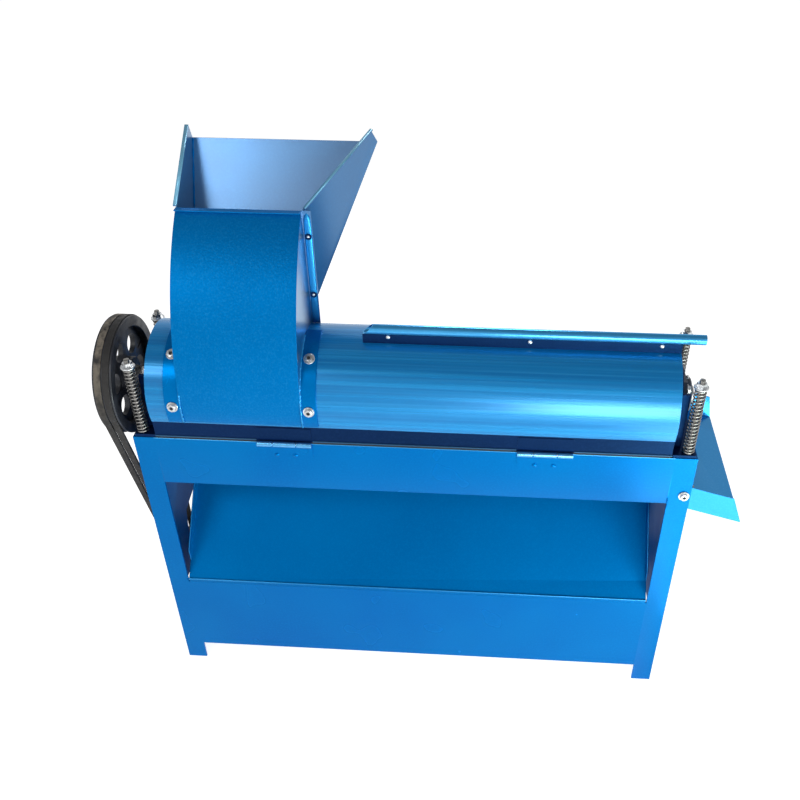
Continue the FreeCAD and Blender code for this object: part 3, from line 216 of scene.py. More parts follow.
def enamel(name, colour, deep, pale, roughness=0.24, tint=BLUE_GLINT, metallic=0.45, specular=0.35):
    """Sprayed enamel: clouds of a deeper and a paler tone, uneven gloss, fine mottle and orange peel."""
    finish = Finish(name, colour, roughness, metallic, specular, tint)
    clouds = finish.noise(4.0, detail=2.0)
    toned = finish.colours(finish.ramp(clouds, 0.30, 0.70), deep, colour)
    mottle = finish.noise(260.0, detail=3.0)
    finish.paint(finish.colours(finish.ramp(mottle, 0.45, 0.75, 0.0, 0.30), toned, pale))
    finish.rough(finish.ramp(finish.noise(12.0, detail=1.0), 0.2, 0.8, roughness - 0.03, roughness + 0.05))
    finish.swell(mottle, 0.0008, 0.16)
    return finish


blue_enamel = enamel("blue_enamel", ENAMEL, (0.0, 0.126, 0.430), (0.0, 0.22, 0.58)).material
# Painted highlight: the edge, rim, hinge and pale enamels below are paler than the machine's blue to stand for
# light caught on edges.
edge_highlight_enamel = enamel("edge_highlight_enamel", (0.06, 0.36, 0.72), (0.04, 0.31, 0.66),
                            (0.12, 0.44, 0.80), 0.16, (0.45, 0.80, 1.0), 0.6, 0.6).material
rim_highlight_enamel = enamel("rim_highlight_enamel", (0.20, 0.52, 0.76), (0.16, 0.46, 0.70), (0.34, 0.64, 0.84), 0.25,
                    (0.7, 0.9, 1.0), 0.2, 0.6).material
hinge_finish = enamel("hinge_finish", (0.14, 0.44, 0.76), (0.05, 0.30, 0.64), (0.42, 0.68, 0.88), 0.18,
                      (0.8, 0.95, 1.0), 0.85, 0.8).material
pale_highlight_enamel = enamel("pale_highlight_enamel", (0.02, 0.26, 0.62), (0.01, 0.22, 0.56), (0.05, 0.34, 0.70), 0.20,
                     (0.5, 0.9, 1.0)).material
# Painted shade: the shaded and inner enamels below are darker and duller than the machine's blue to stand for
# the shade that the tray and side panels lie in.
shaded_enamel = enamel("shaded_enamel", (0.0, 0.140, 0.430), (0.0, 0.122, 0.39), (0.0, 0.19, 0.53), 0.34,
                       metallic=0.12, specular=0.2).material
inner_shade_enamel = enamel("inner_shade_enamel", (0.0, 0.090, 0.310), (0.0, 0.075, 0.27), (0.0, 0.12, 0.37), 0.50,
                      metallic=0.1, specular=0.08).material
dark_enamel = enamel("dark_enamel", (0.004, 0.014, 0.070), (0.003, 0.010, 0.050), (0.01, 0.03, 0.11),
                     0.30).material
motor_enamel = enamel("motor_enamel", (0.03, 0.10, 0.20), (0.02, 0.08, 0.17), (0.05, 0.13, 0.24), 0.36,
                      (0.6, 0.8, 1.0)).material
neck = enamel("neck_enamel", (0.0, 0.165, 0.49), (0.0, 0.145, 0.45), (0.02, 0.27, 0.62), 0.36,
              metallic=0.25, specular=0.3)
neck.swell(neck.noise(420.0, detail=2.0), 0.0012, 0.30)
neck_enamel = neck.material
hopper = enamel("hopper_enamel", (0.01, 0.180, 0.40), (0.01, 0.16, 0.37), (0.03, 0.24, 0.48), 0.22,
                (0.75, 0.92, 1.0))
for name, amount in (("Weight", 1.0), ("Roughness", 0.30), ("IOR", 1.8), ("Tint", (0.72, 0.88, 1.0, 1.0))):
    hopper.shader.inputs["Coat " + name].default_value = amount
hopper_enamel = hopper.material

drum = Finish("drum_enamel", (0.0, 0.180, 0.500), 0.24, 0.24, 0.70, (0.62, 0.90, 1.0))
wide_streaks = drum.noise(70.0, detail=2.0, stretch=(0.010, 1, 1))
fine_streaks = drum.noise(230.0, detail=3.0, stretch=(0.006, 1, 1))
streaked = drum.colours(drum.ramp(wide_streaks, 0.32, 0.68), (0.0, 0.165, 0.47), (0.0, 0.250, 0.62))
drum.paint(drum.colours(drum.ramp(fine_streaks, 0.46, 0.74, 0.0, 0.55), streaked, (0.03, 0.34, 0.74)))
drum.rough(drum.ramp(wide_streaks, 0.3, 0.7, 0.18, 0.32))
drum.swell(wide_streaks, 0.0016, 0.30)
drum.swell(fine_streaks, 0.0006, 0.40)
drum_enamel = drum.material
print("enamels", [material.name for material in bpy.data.materials if "enamel" in material.name])

# %% [markdown]
# Metals and rubber follow the same plan. Zinc plate is bright with cloudy gloss, bright steel has
# turning marks round the shaft, mill steel is darker and scratched along the drum, and spring wire
# is a grey steel with cloudy marks. The belts are black cloth and rubber. Nut dust settles on the outer one
# near the top of its run, so a share of dust rises with the height and fades across the belt.
# %% Metal and rubber finishes


def metal(name, colour, roughness, scale, stretch=(1, 1, 1), depth=0.0002):
    """Bare metal: a slightly darker tone in its clouds, uneven gloss and fine marks."""
    finish = Finish(name, colour, roughness, metallic=1.0)
    marks = finish.noise(scale, detail=3.0, stretch=stretch)
    darker = tuple(0.72 * channel for channel in colour)
    finish.paint(finish.colours(finish.ramp(marks, 0.35, 0.65), darker, colour))
    finish.rough(finish.ramp(marks, 0.3, 0.7, roughness - 0.08, roughness + 0.10))
    finish.swell(marks, depth, 0.4)
    return finish.material


zinc_plate = metal("zinc_plate", (0.68, 0.70, 0.72), 0.30, 160.0)
bright_steel = metal("bright_steel", (0.56, 0.57, 0.58), 0.26, 300.0, stretch=(3, 0.3, 0.3))
mill_steel = metal("mill_steel", (0.30, 0.30, 0.31), 0.42, 90.0, stretch=(0.1, 1, 1))
spring_wire = metal("spring_wire", (0.30, 0.295, 0.285), 0.32, 240.0)

cast = Finish("black_castings", (0.012, 0.014, 0.020), 0.42, specular=0.5)
cast.paint(cast.colours(cast.ramp(cast.noise(40.0), 0.4, 0.7),
                        (0.010, 0.012, 0.018), (0.028, 0.032, 0.045)))
cast.rough(cast.ramp(cast.noise(60.0), 0.3, 0.7, 0.34, 0.55))
cast.swell(cast.noise(500.0, detail=2.0), 0.0005, 0.5)
black_castings = cast.material

bearing = Finish("bearing_castings", (0.030, 0.050, 0.090), 0.48, specular=0.5)
bearing.paint(bearing.colours(bearing.ramp(bearing.noise(60.0), 0.4, 0.7),
                              (0.02, 0.035, 0.07), (0.05, 0.08, 0.13)))
bearing.swell(bearing.noise(600.0, detail=2.0), 0.0006, 0.5)
bearing_castings = bearing.material

DUST_FOOT, DUST_TOP = 0.66, 0.80
CLEAN_X, DUSTY_X = -0.5705, -0.5745
belt = Finish("belt_rubber", (0.030, 0.029, 0.028), 0.62, specular=0.35)
where = belt.tree.nodes.new("ShaderNodeSeparateXYZ")
belt.join(belt.place, where.inputs["Vector"])
settled = belt.ramp(where.outputs["Z"], DUST_FOOT, DUST_TOP)
speckled = belt.ramp(belt.noise(70.0, detail=4.0), 0.36, 0.60)
outer_belt = belt.ramp(where.outputs["X"], CLEAN_X, DUSTY_X)
dusty = belt.times(belt.times(settled, speckled), outer_belt)
belt.paint(belt.colours(dusty, (0.024, 0.023, 0.023), (0.26, 0.225, 0.18)))
belt.rough(belt.ramp(belt.noise(120.0), 0.3, 0.7, 0.50, 0.78))
belt.swell(belt.noise(900.0, detail=2.0), 0.0003, 0.5)
belt_rubber = belt.material

seal = Finish("seal_rubber", (0.014, 0.014, 0.016), 0.70, specular=0.3)
seal.rough(seal.ramp(seal.noise(80.0), 0.3, 0.7, 0.55, 0.85))
seal.swell(seal.noise(300.0), 0.0004, 0.4)
seal_rubber = seal.material

FINISH_OF = {
    "blue_paint": blue_enamel, "drum_blue": drum_enamel, "dark_blue_paint": dark_enamel,
    "motor_paint": motor_enamel, "zinc": zinc_plate, "bright_steel": bright_steel,
    "raw_steel": mill_steel, "spring_steel": spring_wire, "black_paint": black_castings,
    "cast_iron": bearing_castings, "belt_rubber": belt_rubber, "seal_rubber": seal_rubber}
for node, piece in frame["nodes"].items():
    piece.data.materials.clear()
    piece.data.materials.append(FINISH_OF[SLOT_OF[node]])
print("finishes", len(FINISH_OF))

# %% [markdown]
# Every new piece is an array of points and an array of faces. These helpers turn them into a mesh:
# a grid of quads, a profile turned about the drum's direction, a profile carried along a path, and
# an outline drawn out along X with closed ends. A piece takes its body, its finish and its slot
# from the frame's node that it stands for.
# %% Mesh helpers


def grid_faces(rows, columns, close_rows=False, close_columns=False):
    """Quads between the points of a grid, numbered row by row. A closed side joins its last to its first."""
    row = np.arange(rows if close_rows else rows - 1)[:, None]
    column = np.arange(columns if close_columns else columns - 1)[None, :]
    next_row, next_column = (row + 1) % rows, (column + 1) % columns
    quads = [row * columns + column, row * columns + next_column,
             next_row * columns + next_column, next_row * columns + column]
    return np.stack(np.broadcast_arrays(*quads), axis=-1).reshape(-1, 4)


def joined(*parts):
    """Several (points, faces) pairs as one, with the faces of each counted on from the last."""
    points, faces, count = [], [], 0
    for part_points, part_faces in parts:
        points.append(np.asarray(part_points, float).reshape(-1, 3))
        faces += [tuple(int(corner) + count for corner in face) for face in part_faces]
        count += len(points[-1])
    return np.concatenate(points), faces


def outward(mesh):
    """Merges doubled points and turns every face of a closed mesh outwards."""
    work = bmesh.new()
    work.from_mesh(mesh)
    bmesh.ops.remove_doubles(work, verts=work.verts, dist=1e-6)
    bmesh.ops.recalc_face_normals(work, faces=work.faces)
    work.to_mesh(mesh)
    work.free()


def rounded_edges(piece, width, segments=2, weighted=False):
    """A Bevel modifier that rounds sharp edges by a width in millimetres."""
    bevel = piece.modifiers.new("rounded_edges", "BEVEL")
    bevel.width = width * MM
    bevel.segments = segments
    bevel.limit_method = "WEIGHT" if weighted else "ANGLE"
    bevel.angle_limit = math.radians(40)
    bevel.harden_normals = True
    return piece


def stand_for(piece, *nodes):
    """Rides on the body of the nodes that the piece stands for, and hides those nodes."""
    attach(piece, BODY_OF[nodes[0]])
    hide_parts(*nodes)
    return piece


def smooth(mesh, angle=35):
    """Shades a mesh smooth, apart from edges sharper than the angle."""
    mesh.polygons.foreach_set("use_smooth", np.ones(len(mesh.polygons), bool))
    mesh.set_sharp_from_angle(angle=math.radians(angle))


def shown(name, mesh):
    """An object at the origin with a mesh, put into the scene."""
    piece = bpy.data.objects.new(name, mesh)
    bpy.context.scene.collection.objects.link(piece)
    return piece


def made(name, shape, material, angle=35):
    """An object from points in millimetres and faces, with outward faces and one material."""
    points, faces = shape
    mesh = bpy.data.meshes.new(name)
    mesh.from_pydata((points * MM + CORNER).tolist(), [], [tuple(map(int, face)) for face in faces])
    outward(mesh)
    smooth(mesh, angle)
    mesh.materials.append(material)
    return shown(name, mesh)


def build(name, shape, *nodes, finish=None, edge=0.0, angle=35):
    """A made piece that stands for its nodes, with edges rounded by a width if one is given."""
    piece = made(name, shape, finish or FINISH_OF[SLOT_OF[nodes[0]]], angle)
    if edge:
        rounded_edges(piece, edge)
    return stand_for(piece, *nodes)


def extra(name, shape, body, slot, finish=None, angle=60):
    """A small made piece that stands for no node, such as a weld bead."""
    piece = made(name, shape, finish or FINISH_OF[slot], angle)
    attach(piece, body)
    return piece


def circle(radius, start, end, count, centre=(0.0, 0.0)):
    """Points on a circle from a start to an end angle in degrees: centre plus radius times (cos, sin)."""
    turn = np.radians(np.linspace(start, end, count))
    return np.stack([centre[0] + radius * np.cos(turn), centre[1] + radius * np.sin(turn)], axis=1)


def turned(profile, centre, axis="x", count=64, closed=True):
    """A profile of (radius, along) pairs turned about an axis: the other two coordinates are the centre
    plus radius times the cosine and sine of the turn. A closed profile ends where it starts, and one
    that starts and ends on the axis is closed by its two poles instead."""
    profile = np.asarray(profile, float)
    closed = closed and max(profile[0, 0], profile[-1, 0]) > 0
    turn = np.linspace(0, 2 * np.pi, count, endpoint=False)[:, None]
    along = np.broadcast_to(profile[:, 1], (count, len(profile)))
    first, second = profile[:, 0] * np.cos(turn), profile[:, 0] * np.sin(turn)
    order = {"x": (along, first, second), "y": (second, along, first), "z": (first, second, along)}[axis]
    points = np.stack(order, axis=-1) + np.asarray(centre, float)
    return points.reshape(-1, 3), grid_faces(count, len(profile), True, closed)


def round_bar(start, end, radius, line, ease=0.5, bore=0.0, count=40):
    """A round bar, or a ring with a bore, turned along X on a line (y, z) with its outer edges eased."""
    profile = [(bore, start), (radius - ease, start), (radius, start + ease),
               (radius, end - ease), (radius - ease, end), (bore, end)]
    return turned(profile, (0, *line), "x", count)


def shaft(start, end, radius, drilled, line, count):
    """A shaft along X whose left end has a centre hole, given as (radius, depth) pairs."""
    hole = [(r, start + depth) for r, depth in drilled]
    profile = hole + [(radius - 1, start), (radius, start + 1), (radius, end - 1), (radius - 1, end), (0, end)]
    return turned(profile, (0, *line), "x", count)


def drawn_out(outline, start, end):
    """An outline of (y, z) pairs drawn out along X from start to end, with its two ends closed."""
    outline = np.asarray(outline, float)
    count = len(outline)
    ends = [np.column_stack([np.full(count, x), outline]) for x in (start, end)]
    sides = grid_faces(2, count, False, True)
    caps = [tuple(range(count)), tuple(range(count, 2 * count))]
    return np.concatenate(ends), [tuple(side) for side in sides] + caps


def carried(section, path, across, up, closed=False):
    """A closed section of (a, b) pairs carried along a path: each point is the path's point plus a times
    across plus b times up there. An open path has its ends closed."""
    section, path = np.asarray(section, float), np.asarray(path, float)
    points = (path[:, None] + section[None, :, :1] * np.asarray(across)[:, None]
              + section[None, :, 1:] * np.asarray(up)[:, None])
    faces = [tuple(face) for face in grid_faces(len(path), len(section), closed, True)]
    if not closed:
        last = (len(path) - 1) * len(section)
        faces += [tuple(range(len(section))), tuple(range(last, last + len(section)))]
    return points.reshape(-1, 3), faces


# %% [markdown]
# The frame is made of folded sheet and angle iron. Its nodes already have the right shape, but a
# perfectly sharp edge never catches light, and real folded steel does. So each sheet is a copy of
# its node with the flat triangles merged and the edges rounded by a few tenths of a millimetre.
# Where two members are welded flush and painted over, as a beam between its legs, the edge at the
# joint stays sharp and doesn't show.
# %% Folded sheets with softened edges
LEG_WIDTH = span("leg_front_left")[1][0]
FLUSH_X = (LEG_WIDTH, FRAME_LENGTH - LEG_WIDTH)


def numbers(items, name, width, kind=float):
    """One property of all items of a mesh, as rows of the width given."""
    values = np.empty(len(items) * width, kind)
    items.foreach_get(name, values)
    return values.reshape(-1, width) if width > 1 else values


def fold_weights(mesh, flush):
    """1 for each edge whose two faces turn by over 40 degrees, and 0 for the rest and for edges that lie
    in a welded joint: the cosine of the turn is the product of the two faces' normals."""
    edges = numbers(mesh.edges, "vertices", 2, int)
    edge_of_corner = numbers(mesh.loops, "edge_index", 1, int)
    corners_of_face = numbers(mesh.polygons, "loop_total", 1, int)
    face_of_corner = np.repeat(np.arange(len(mesh.polygons)), corners_of_face)
    order = np.argsort(edge_of_corner, kind="stable")
    pairs = order[np.searchsorted(edge_of_corner[order], np.arange(len(edges)))]
    after = order[np.searchsorted(edge_of_corner[order], np.arange(len(edges)), side="right") - 1]
    normals = numbers(mesh.polygons, "normal", 3)
    cosine = (normals[face_of_corner[pairs]] * normals[face_of_corner[after]]).sum(axis=1)
    x = (numbers(mesh.vertices, "co", 3)[:, 0] - CORNER[0]) / MM
    at_joint = np.zeros(len(edges), bool)
    for place in flush:
        at_joint |= (np.abs(x[edges] - place) < 0.1).all(axis=1)
    return ((cosine < math.cos(math.radians(40))) & ~at_joint).astype(float)


def softened(node, width=0.5, flush=(), finish=None):
    """A copy of a node with merged points, joined flat faces, and a rounding weight on its folds."""
    mesh = frame["nodes"][node].data.copy()
    mesh.name = node + "_painted"
    work = bmesh.new()
    work.from_mesh(mesh)
    bmesh.ops.remove_doubles(work, verts=work.verts, dist=1e-6)
    bmesh.ops.dissolve_limit(work, angle_limit=math.radians(1), verts=work.verts, edges=work.edges)
    work.to_mesh(mesh)
    work.free()
    weights = mesh.attributes.new("bevel_weight_edge", "FLOAT", "EDGE")
    weights.data.foreach_set("value", fold_weights(mesh, flush))
    smooth(mesh)
    mesh.materials.clear()
    mesh.materials.append(finish or FINISH_OF[SLOT_OF[node]])
    return stand_for(rounded_edges(shown(node + "_painted", mesh), width, weighted=True), node)


# The chute's paler enamel is a painted highlight, and the darker enamels of the tray and side panels are
# painted shade.
PAINTED = (
    (("leg_front_left", "leg_front_right", "leg_rear_left", "leg_rear_right", "front_beam", "front_skirt",
      "rear_beam", "rear_skirt"), 0.5, FLUSH_X, None),
    (("end_rails", "mid_rail", "rear_deck", "inner_chute", "neck_rear_wall", "cover_end_walls",
      "cover_flanges", "seal_strips", "bearing_carrier_left", "bearing_carrier_right", "motor_rails",
      "motor_base_plate", "concave_side_bars", "concave_ribs"), 0.4, (), None),
    (("neck_right_wall", "hopper_left_wall", "hopper_back_panel", "hopper_right_wall"), 0.5, (), hopper_enamel),
    (("discharge_chute",), 0.5, (), pale_highlight_enamel),
    (("kernel_tray",), 0.5, (), shaded_enamel),
    (("left_side_panel", "right_side_panel"), 0.5, (), inner_shade_enamel))
for nodes, width, flush, finish in PAINTED:
    for node in nodes:
        softened(node, width, flush, finish)
print("softened sheets", sum(len(row[0]) for row in PAINTED))

# %% [markdown]
# The drum's cover is a rolled sheet that reaches a little under the axis on both sides. Its outer
# face is a grid of arc angle by length, with extra grid lines on the edges of the feed port, so the
# port is simply the cells that are left out. A Solidify modifier gives the sheet its gauge inwards.
# %% Drum cover
COVER_DROP = 18.0
NECK_LEFT, NECK_RIGHT = span("neck_front_panel")[0][0], span("neck_front_panel")[1][0]
NECK_REAR = span("neck_rear_wall")[1][1]
PORT_EDGE = 2 * SHEET
PORT_FRONT = 22.0


def cover_angle(y):
    """The angle at which the cover's outer face stands at a depth y: the arc cosine of its offset."""
    return math.degrees(math.acos((y - DRUM_Y) / COVER_RADIUS))


port_angles = (cover_angle(NECK_REAR - PORT_EDGE), cover_angle(DRUM_Y - COVER_RADIUS + SHEET + PORT_FRONT))
port_x = (NECK_LEFT + PORT_EDGE, NECK_RIGHT - PORT_EDGE)
ROWS, COLUMNS = (27, 39, 26), (7, 9, 40)
angles = np.concatenate([np.linspace(-COVER_DROP, port_angles[0], ROWS[0], False),
                         np.linspace(*port_angles, ROWS[1], False),
                         np.linspace(port_angles[1], 180 + COVER_DROP, ROWS[2])])
lengths = np.concatenate([np.linspace(cover_low[0], port_x[0], COLUMNS[0], False),
                          np.linspace(*port_x, COLUMNS[1], False),
                          np.linspace(port_x[1], cover_high[0], COLUMNS[2])])
turn, along = np.meshgrid(np.radians(angles), lengths, indexing="ij")
cover_points = np.stack([along, DRUM_Y + COVER_RADIUS * np.cos(turn),
                         DRUM_Z + COVER_RADIUS * np.sin(turn)], axis=-1).reshape(-1, 3)
cells = grid_faces(len(angles), len(lengths))
row, column = cells[:, 0] // len(lengths) - ROWS[0], cells[:, 0] % len(lengths) - COLUMNS[0]
in_port = (row >= 0) & (row < ROWS[1]) & (column >= 0) & (column < COLUMNS[1])
cover_shell = build("drum_cover_sheet", (cover_points, cells[~in_port]), "drum_cover")


def thickened(piece, gauge, side=-1.0):
    """A Solidify modifier of a gauge in millimetres, inwards for side -1."""
    solid = piece.modifiers.new("gauge", "SOLIDIFY")
    solid.thickness = gauge * MM
    solid.offset = side
    solid.use_even_offset = True
    return piece


def face_away(piece, centre):
    """Turns an open sheet so that its faces look away from a point, given in millimetres."""
    mesh = piece.data
    middle = mesh.polygons[0].center
    away = np.array(middle) - (np.array(centre) * MM + CORNER)
    if np.dot(np.array(mesh.polygons[0].normal), away) < 0:
        mesh.flip_normals()
    return piece


face_away(cover_shell, (cover_low[0], DRUM_Y, DRUM_Z))
rounded_edges(thickened(cover_shell, SHEET), 0.4)
print("cover cells", int((~in_port).sum()))

# %% [markdown]
# The neck's front panel wraps the drum's lower front, leaves it along the tangent and curves back
# up to the hopper's rim, where it ends in a small lip turned outwards. Its outline in the side view
# is a handful of arcs, so it is drawn once as a closed outline and drawn out along the neck.
# %% Neck front panel
NECK_RADIUS = 396.0
NECK_WRAP = 15.0
NECK_TOP = span("neck_right_wall")[1][2]
RIM_LIP = 9.0
skin = COVER_RADIUS + SHEET
drum_centre = (DRUM_Y, DRUM_Z)
neck_centre = (DRUM_Y - skin + NECK_RADIUS, DRUM_Z)


def angle_at_top(radius):
    """The angle at which an arc round the neck's centre reaches the rim: the arc sine of rise by radius."""
    return 180 - math.degrees(math.asin((NECK_TOP - DRUM_Z) / radius))


outer_wrap = circle(skin, 180 + NECK_WRAP, 180, 10, drum_centre)
outer_rise = circle(NECK_RADIUS, 180, angle_at_top(NECK_RADIUS), 48, neck_centre)
inner_rise = circle(NECK_RADIUS - SHEET, angle_at_top(NECK_RADIUS - SHEET), 180, 48, neck_centre)
inner_wrap = circle(COVER_RADIUS, 180, 180 + NECK_WRAP, 10, drum_centre)
shoulder, inside = outer_rise[-1, 0], inner_rise[0, 0]
lip = np.array([[shoulder - RIM_LIP, NECK_TOP], [shoulder - RIM_LIP, NECK_TOP + SHEET],
                [inside, NECK_TOP + SHEET]])
neck_outline = np.concatenate([outer_wrap[:-1], outer_rise, lip, inner_rise[:-1], inner_wrap])
build("neck_front_sheet", drawn_out(neck_outline, NECK_LEFT, NECK_RIGHT), "neck_front_panel",
      edge=0.4, finish=neck_enamel)
print("neck outline points", len(neck_outline), "lip at y", round(shoulder - RIM_LIP, 1))

# %% [markdown]
# Two straps clamp the neck on the drum. Each is a flat bar rolled to the drum's radius: an arc
# outline with the strap's gauge, drawn out by its width.
# %% Collar straps
STRAP_WIDTH = 28.0
STRAP_DROP = 15.0
strap_outer = COVER_RADIUS + STRAP
strap_outline = np.concatenate([circle(strap_outer, 180 + STRAP_DROP, 90, 40, drum_centre),
                                circle(COVER_RADIUS, 90, 180 + STRAP_DROP, 40, drum_centre)])
straps = [drawn_out(strap_outline, start, start + STRAP_WIDTH)
          for start in (NECK_LEFT - STRAP_WIDTH, NECK_RIGHT)]
build("collar_strap_bars", joined(*straps), "collar_straps", edge=0.5)
print("straps", len(straps), "of", STRAP_WIDTH, "mm")

# %% [markdown]
# A rail runs along the drum's top to lift the cover by: a flat strip with its upper edge rolled to a
# tube. The tube's left end is cut on the slant and stays open, and the right end runs past the drum.
# The tube is a thin-walled ring carried along X, and its first ring leans to make the slanted cut.
# %% Lifting rail
rail_low, rail_high = span("cover_rail_tube")
strip_low, strip_high = span("cover_rail_strip")
RAIL_RADIUS = (rail_high[2] - rail_low[2]) / 2
RAIL_WALL = 1.5
SLANT = 1.1
STRIP_FALL = 0.8
rail_axis = ((rail_low[1] + rail_high[1]) / 2, (rail_low[2] + rail_high[2]) / 2)
strip_outline = np.array([[strip_low[1], strip_low[2]], [strip_high[1], strip_low[2] + STRIP_FALL],
                          [strip_high[1], strip_high[2]], [strip_low[1], strip_high[2]]])
build("rail_strip_bar", drawn_out(strip_outline, strip_low[0], strip_high[0]), "cover_rail_strip", edge=0.5)
ring_turn = np.linspace(0, 2 * np.pi, 40, endpoint=False)
rail_x = np.linspace(rail_low[0], rail_high[0], 60)
walls = []
for radius in (RAIL_RADIUS, RAIL_RADIUS - RAIL_WALL):
    height = radius * np.sin(ring_turn)
    lean = SLANT * (height + RAIL_RADIUS) * np.linspace(1, 0, len(rail_x))[:, None] ** 12
    walls.append(np.stack([rail_x[:, None] + lean,
                           np.broadcast_to(rail_axis[0] + radius * np.cos(ring_turn), lean.shape),
                           np.broadcast_to(rail_axis[1] + height, lean.shape)], axis=-1))
tube_points = np.concatenate([walls[0], walls[1][::-1]])
tube_faces = grid_faces(len(tube_points), len(ring_turn), True, True)
# The tube's paler enamel is a painted highlight along the rolled edge.
build("rail_tube_roll", (tube_points.reshape(-1, 3), tube_faces), "cover_rail_tube",
      edge=0.3, finish=edge_highlight_enamel)
print("rail from", round(rail_low[0]), "to", round(rail_high[0]), "radius", round(RAIL_RADIUS, 1))

# %% [markdown]
# Each corner of the drum is held down by a spring on a stud. The wire runs along a helix: its centre
# circles the stud while it climbs, and at both ends the last turn lies flat against its seat. The
# round section is carried along that path.
# %% Carrier springs
spring_low, spring_high = span("carrier_springs")
stud_low, stud_high = span("carrier_studs")
STUD_RADIUS = 5.0
SPRING_RADIUS = 9.3
WIRE_RADIUS = 1.7
SPRING_TURNS = 19.5
stud_places = [(x, y) for x in (stud_low[0] + STUD_RADIUS, stud_high[0] - STUD_RADIUS)
               for y in (stud_low[1] + STUD_RADIUS, stud_high[1] - STUD_RADIUS)]


def spring(x, y):
    """A coil: angle grows evenly along the wire, and height follows a curve that is flat at both ends."""
    share = np.linspace(0, 1, int(SPRING_TURNS * 22))
    turn = 2 * np.pi * SPRING_TURNS * share
    flat = 1.0 / SPRING_TURNS
    climb = np.clip((share - flat) / (1 - 2 * flat), 0, 1)
    ends = np.minimum(share / flat, 1) + np.clip((share - 1 + flat) / flat, 0, 1)
    bottom, top = spring_low[2] + WIRE_RADIUS, spring_high[2] - WIRE_RADIUS
    lift = 1.6 * WIRE_RADIUS
    height = bottom + lift * ends + (top - bottom - 2 * lift) * climb
    radial = np.stack([np.cos(turn), np.sin(turn), 0 * turn], axis=1)
    path = np.array([x, y, 0.0]) + SPRING_RADIUS * radial + height[:, None] * [0.0, 0.0, 1.0]
    return carried(circle(WIRE_RADIUS, 0, 324, 10), path, radial, np.broadcast_to([0.0, 0.0, 1.0], path.shape))


springs = build("carrier_spring_coils", joined(*[spring(*place) for place in stud_places]),
                "carrier_springs", angle=60)
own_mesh(springs)

# %% [markdown]
# Studs, nuts, washers, bolts and screws. A hexagon is a circle whose radius changes with the angle:
# the distance to the nearest flat divided by the cosine of the angle from that flat's middle. A
# chamfer lets the corners fall away by the slope of a cone, as on a turned nut. Threads are shown as
# fine rings, which at this size can't be told from a helix.
# %% Fasteners
THREAD_DEPTH = 0.35


def aimed(points, seat, direction):
    """Turns points from a seat at the origin that looks along Z to one that looks along a direction."""
    away = np.asarray(direction, float) / np.linalg.norm(direction)
    side = np.cross([0.0, 0.0, 1.0] if abs(away[2]) < 0.9 else [0.0, 1.0, 0.0], away)
    side /= np.linalg.norm(side)
    return points @ np.stack([side, np.cross(away, side), away]) + np.asarray(seat, float)


def hexagon(radius, bottom, top, bore=0.0, sink=0.0, count=48):
    """A chamfered hexagon about Z: rings of the flat's distance over the cosine of the turn, with corners
    cut by a cone. A bore goes down by sink from the top, and a sink of 0 goes right through."""
    turn = np.linspace(0, 2 * np.pi, count, endpoint=False)
    flat = radius * math.cos(math.pi / 6)
    reach = flat / np.cos((turn + np.pi / 6) % (np.pi / 3) - np.pi / 6)
    cut = top - (reach - flat) * math.tan(math.radians(30))
    level = np.zeros(count)
    rings = [(level + (0 if sink else bore), level + bottom), (reach, level + bottom), (reach, cut - 0.1),
             (np.minimum(reach, flat * 0.97), level + top), (level + bore, level + top)]
    if sink:
        rings += [(level + bore * 0.95, level + top - sink), (level, level + top - sink)]
    points = np.stack([np.stack([r * np.cos(turn), r * np.sin(turn), z], axis=-1) for r, z in rings], axis=1)
    return points.reshape(-1, 3), grid_faces(count, len(rings), True, not sink)


def ring(outer, inner, bottom, top, edge=0.4, count=40):
    """A washer about Z with its outer edges eased."""
    return turned([(inner, bottom), (outer - edge, bottom), (outer, bottom + edge), (outer, top - edge),
                   (outer - edge, top), (inner, top)], (0, 0, 0), "z", count)


def threaded(radius, bottom, top, pitch=1.25, count=24):
    """A threaded end: the radius rises and falls by the thread's depth, once for each pitch."""
    steps = max(2, int((top - bottom) / pitch) * 2)
    z = np.linspace(bottom, top, steps + 1)
    r = radius - THREAD_DEPTH * (np.arange(steps + 1) % 2)
    profile = [(0, bottom)] + list(zip(r, z)) + [(radius - 1.0, top + 0.4), (0, top + 0.4)]
    return turned(profile, (0, 0, 0), "z", count)


def placed(shape, seat, direction):
    """A fastener's shape set on its seat."""
    return aimed(shape[0], seat, direction), shape[1]


BOLT_HEAD, BOLT_TOP, BOLT_WASHER, WASHER_WALL = 7.5, 7.0, 10.0, 2.0


def bolt_set(seat, direction):
    """A washer with a hexagon socket head on it."""
    return [placed(ring(BOLT_WASHER, 0.0, 0.0, WASHER_WALL), seat, direction),
            placed(hexagon(BOLT_HEAD, WASHER_WALL, BOLT_TOP, bore=3.4, sink=3.0), seat, direction)]


SOCKET_SHADES = {}


def socket_shade(seat, direction, body):
    """A black disc as painted shade at the bottom of a bolt's hexagon hole, kept by body and built once at the
    end.
    """
    low, high = BOLT_TOP - 3.2, BOLT_TOP - 2.7
    disc = turned([(0, low), (3.3, low), (3.3, high), (0, high)], (0, 0, 0), "z", 16)
    SOCKET_SHADES.setdefault(body, []).append(placed(disc, seat, direction))


def pan_screw(seat, direction, radius=4.5, height=2.5):
    """A screw with a domed head: the height follows a quarter of an ellipse, and a cross is left out."""
    swing = np.radians(np.linspace(0, 90, 8))
    dome = list(zip(radius * np.cos(swing), height * np.sin(swing)))
    return [placed(turned([(0, 0.0)] + dome + [(0, height)], (0, 0, 0), "z", 24), seat, direction)]


# %% [markdown]
# Several nodes hold many loose solids, such as all screws of a hinge. Each solid's own box says where
# its screw goes, so the solids are told apart first, by their shared points.
# %% Solids of a node


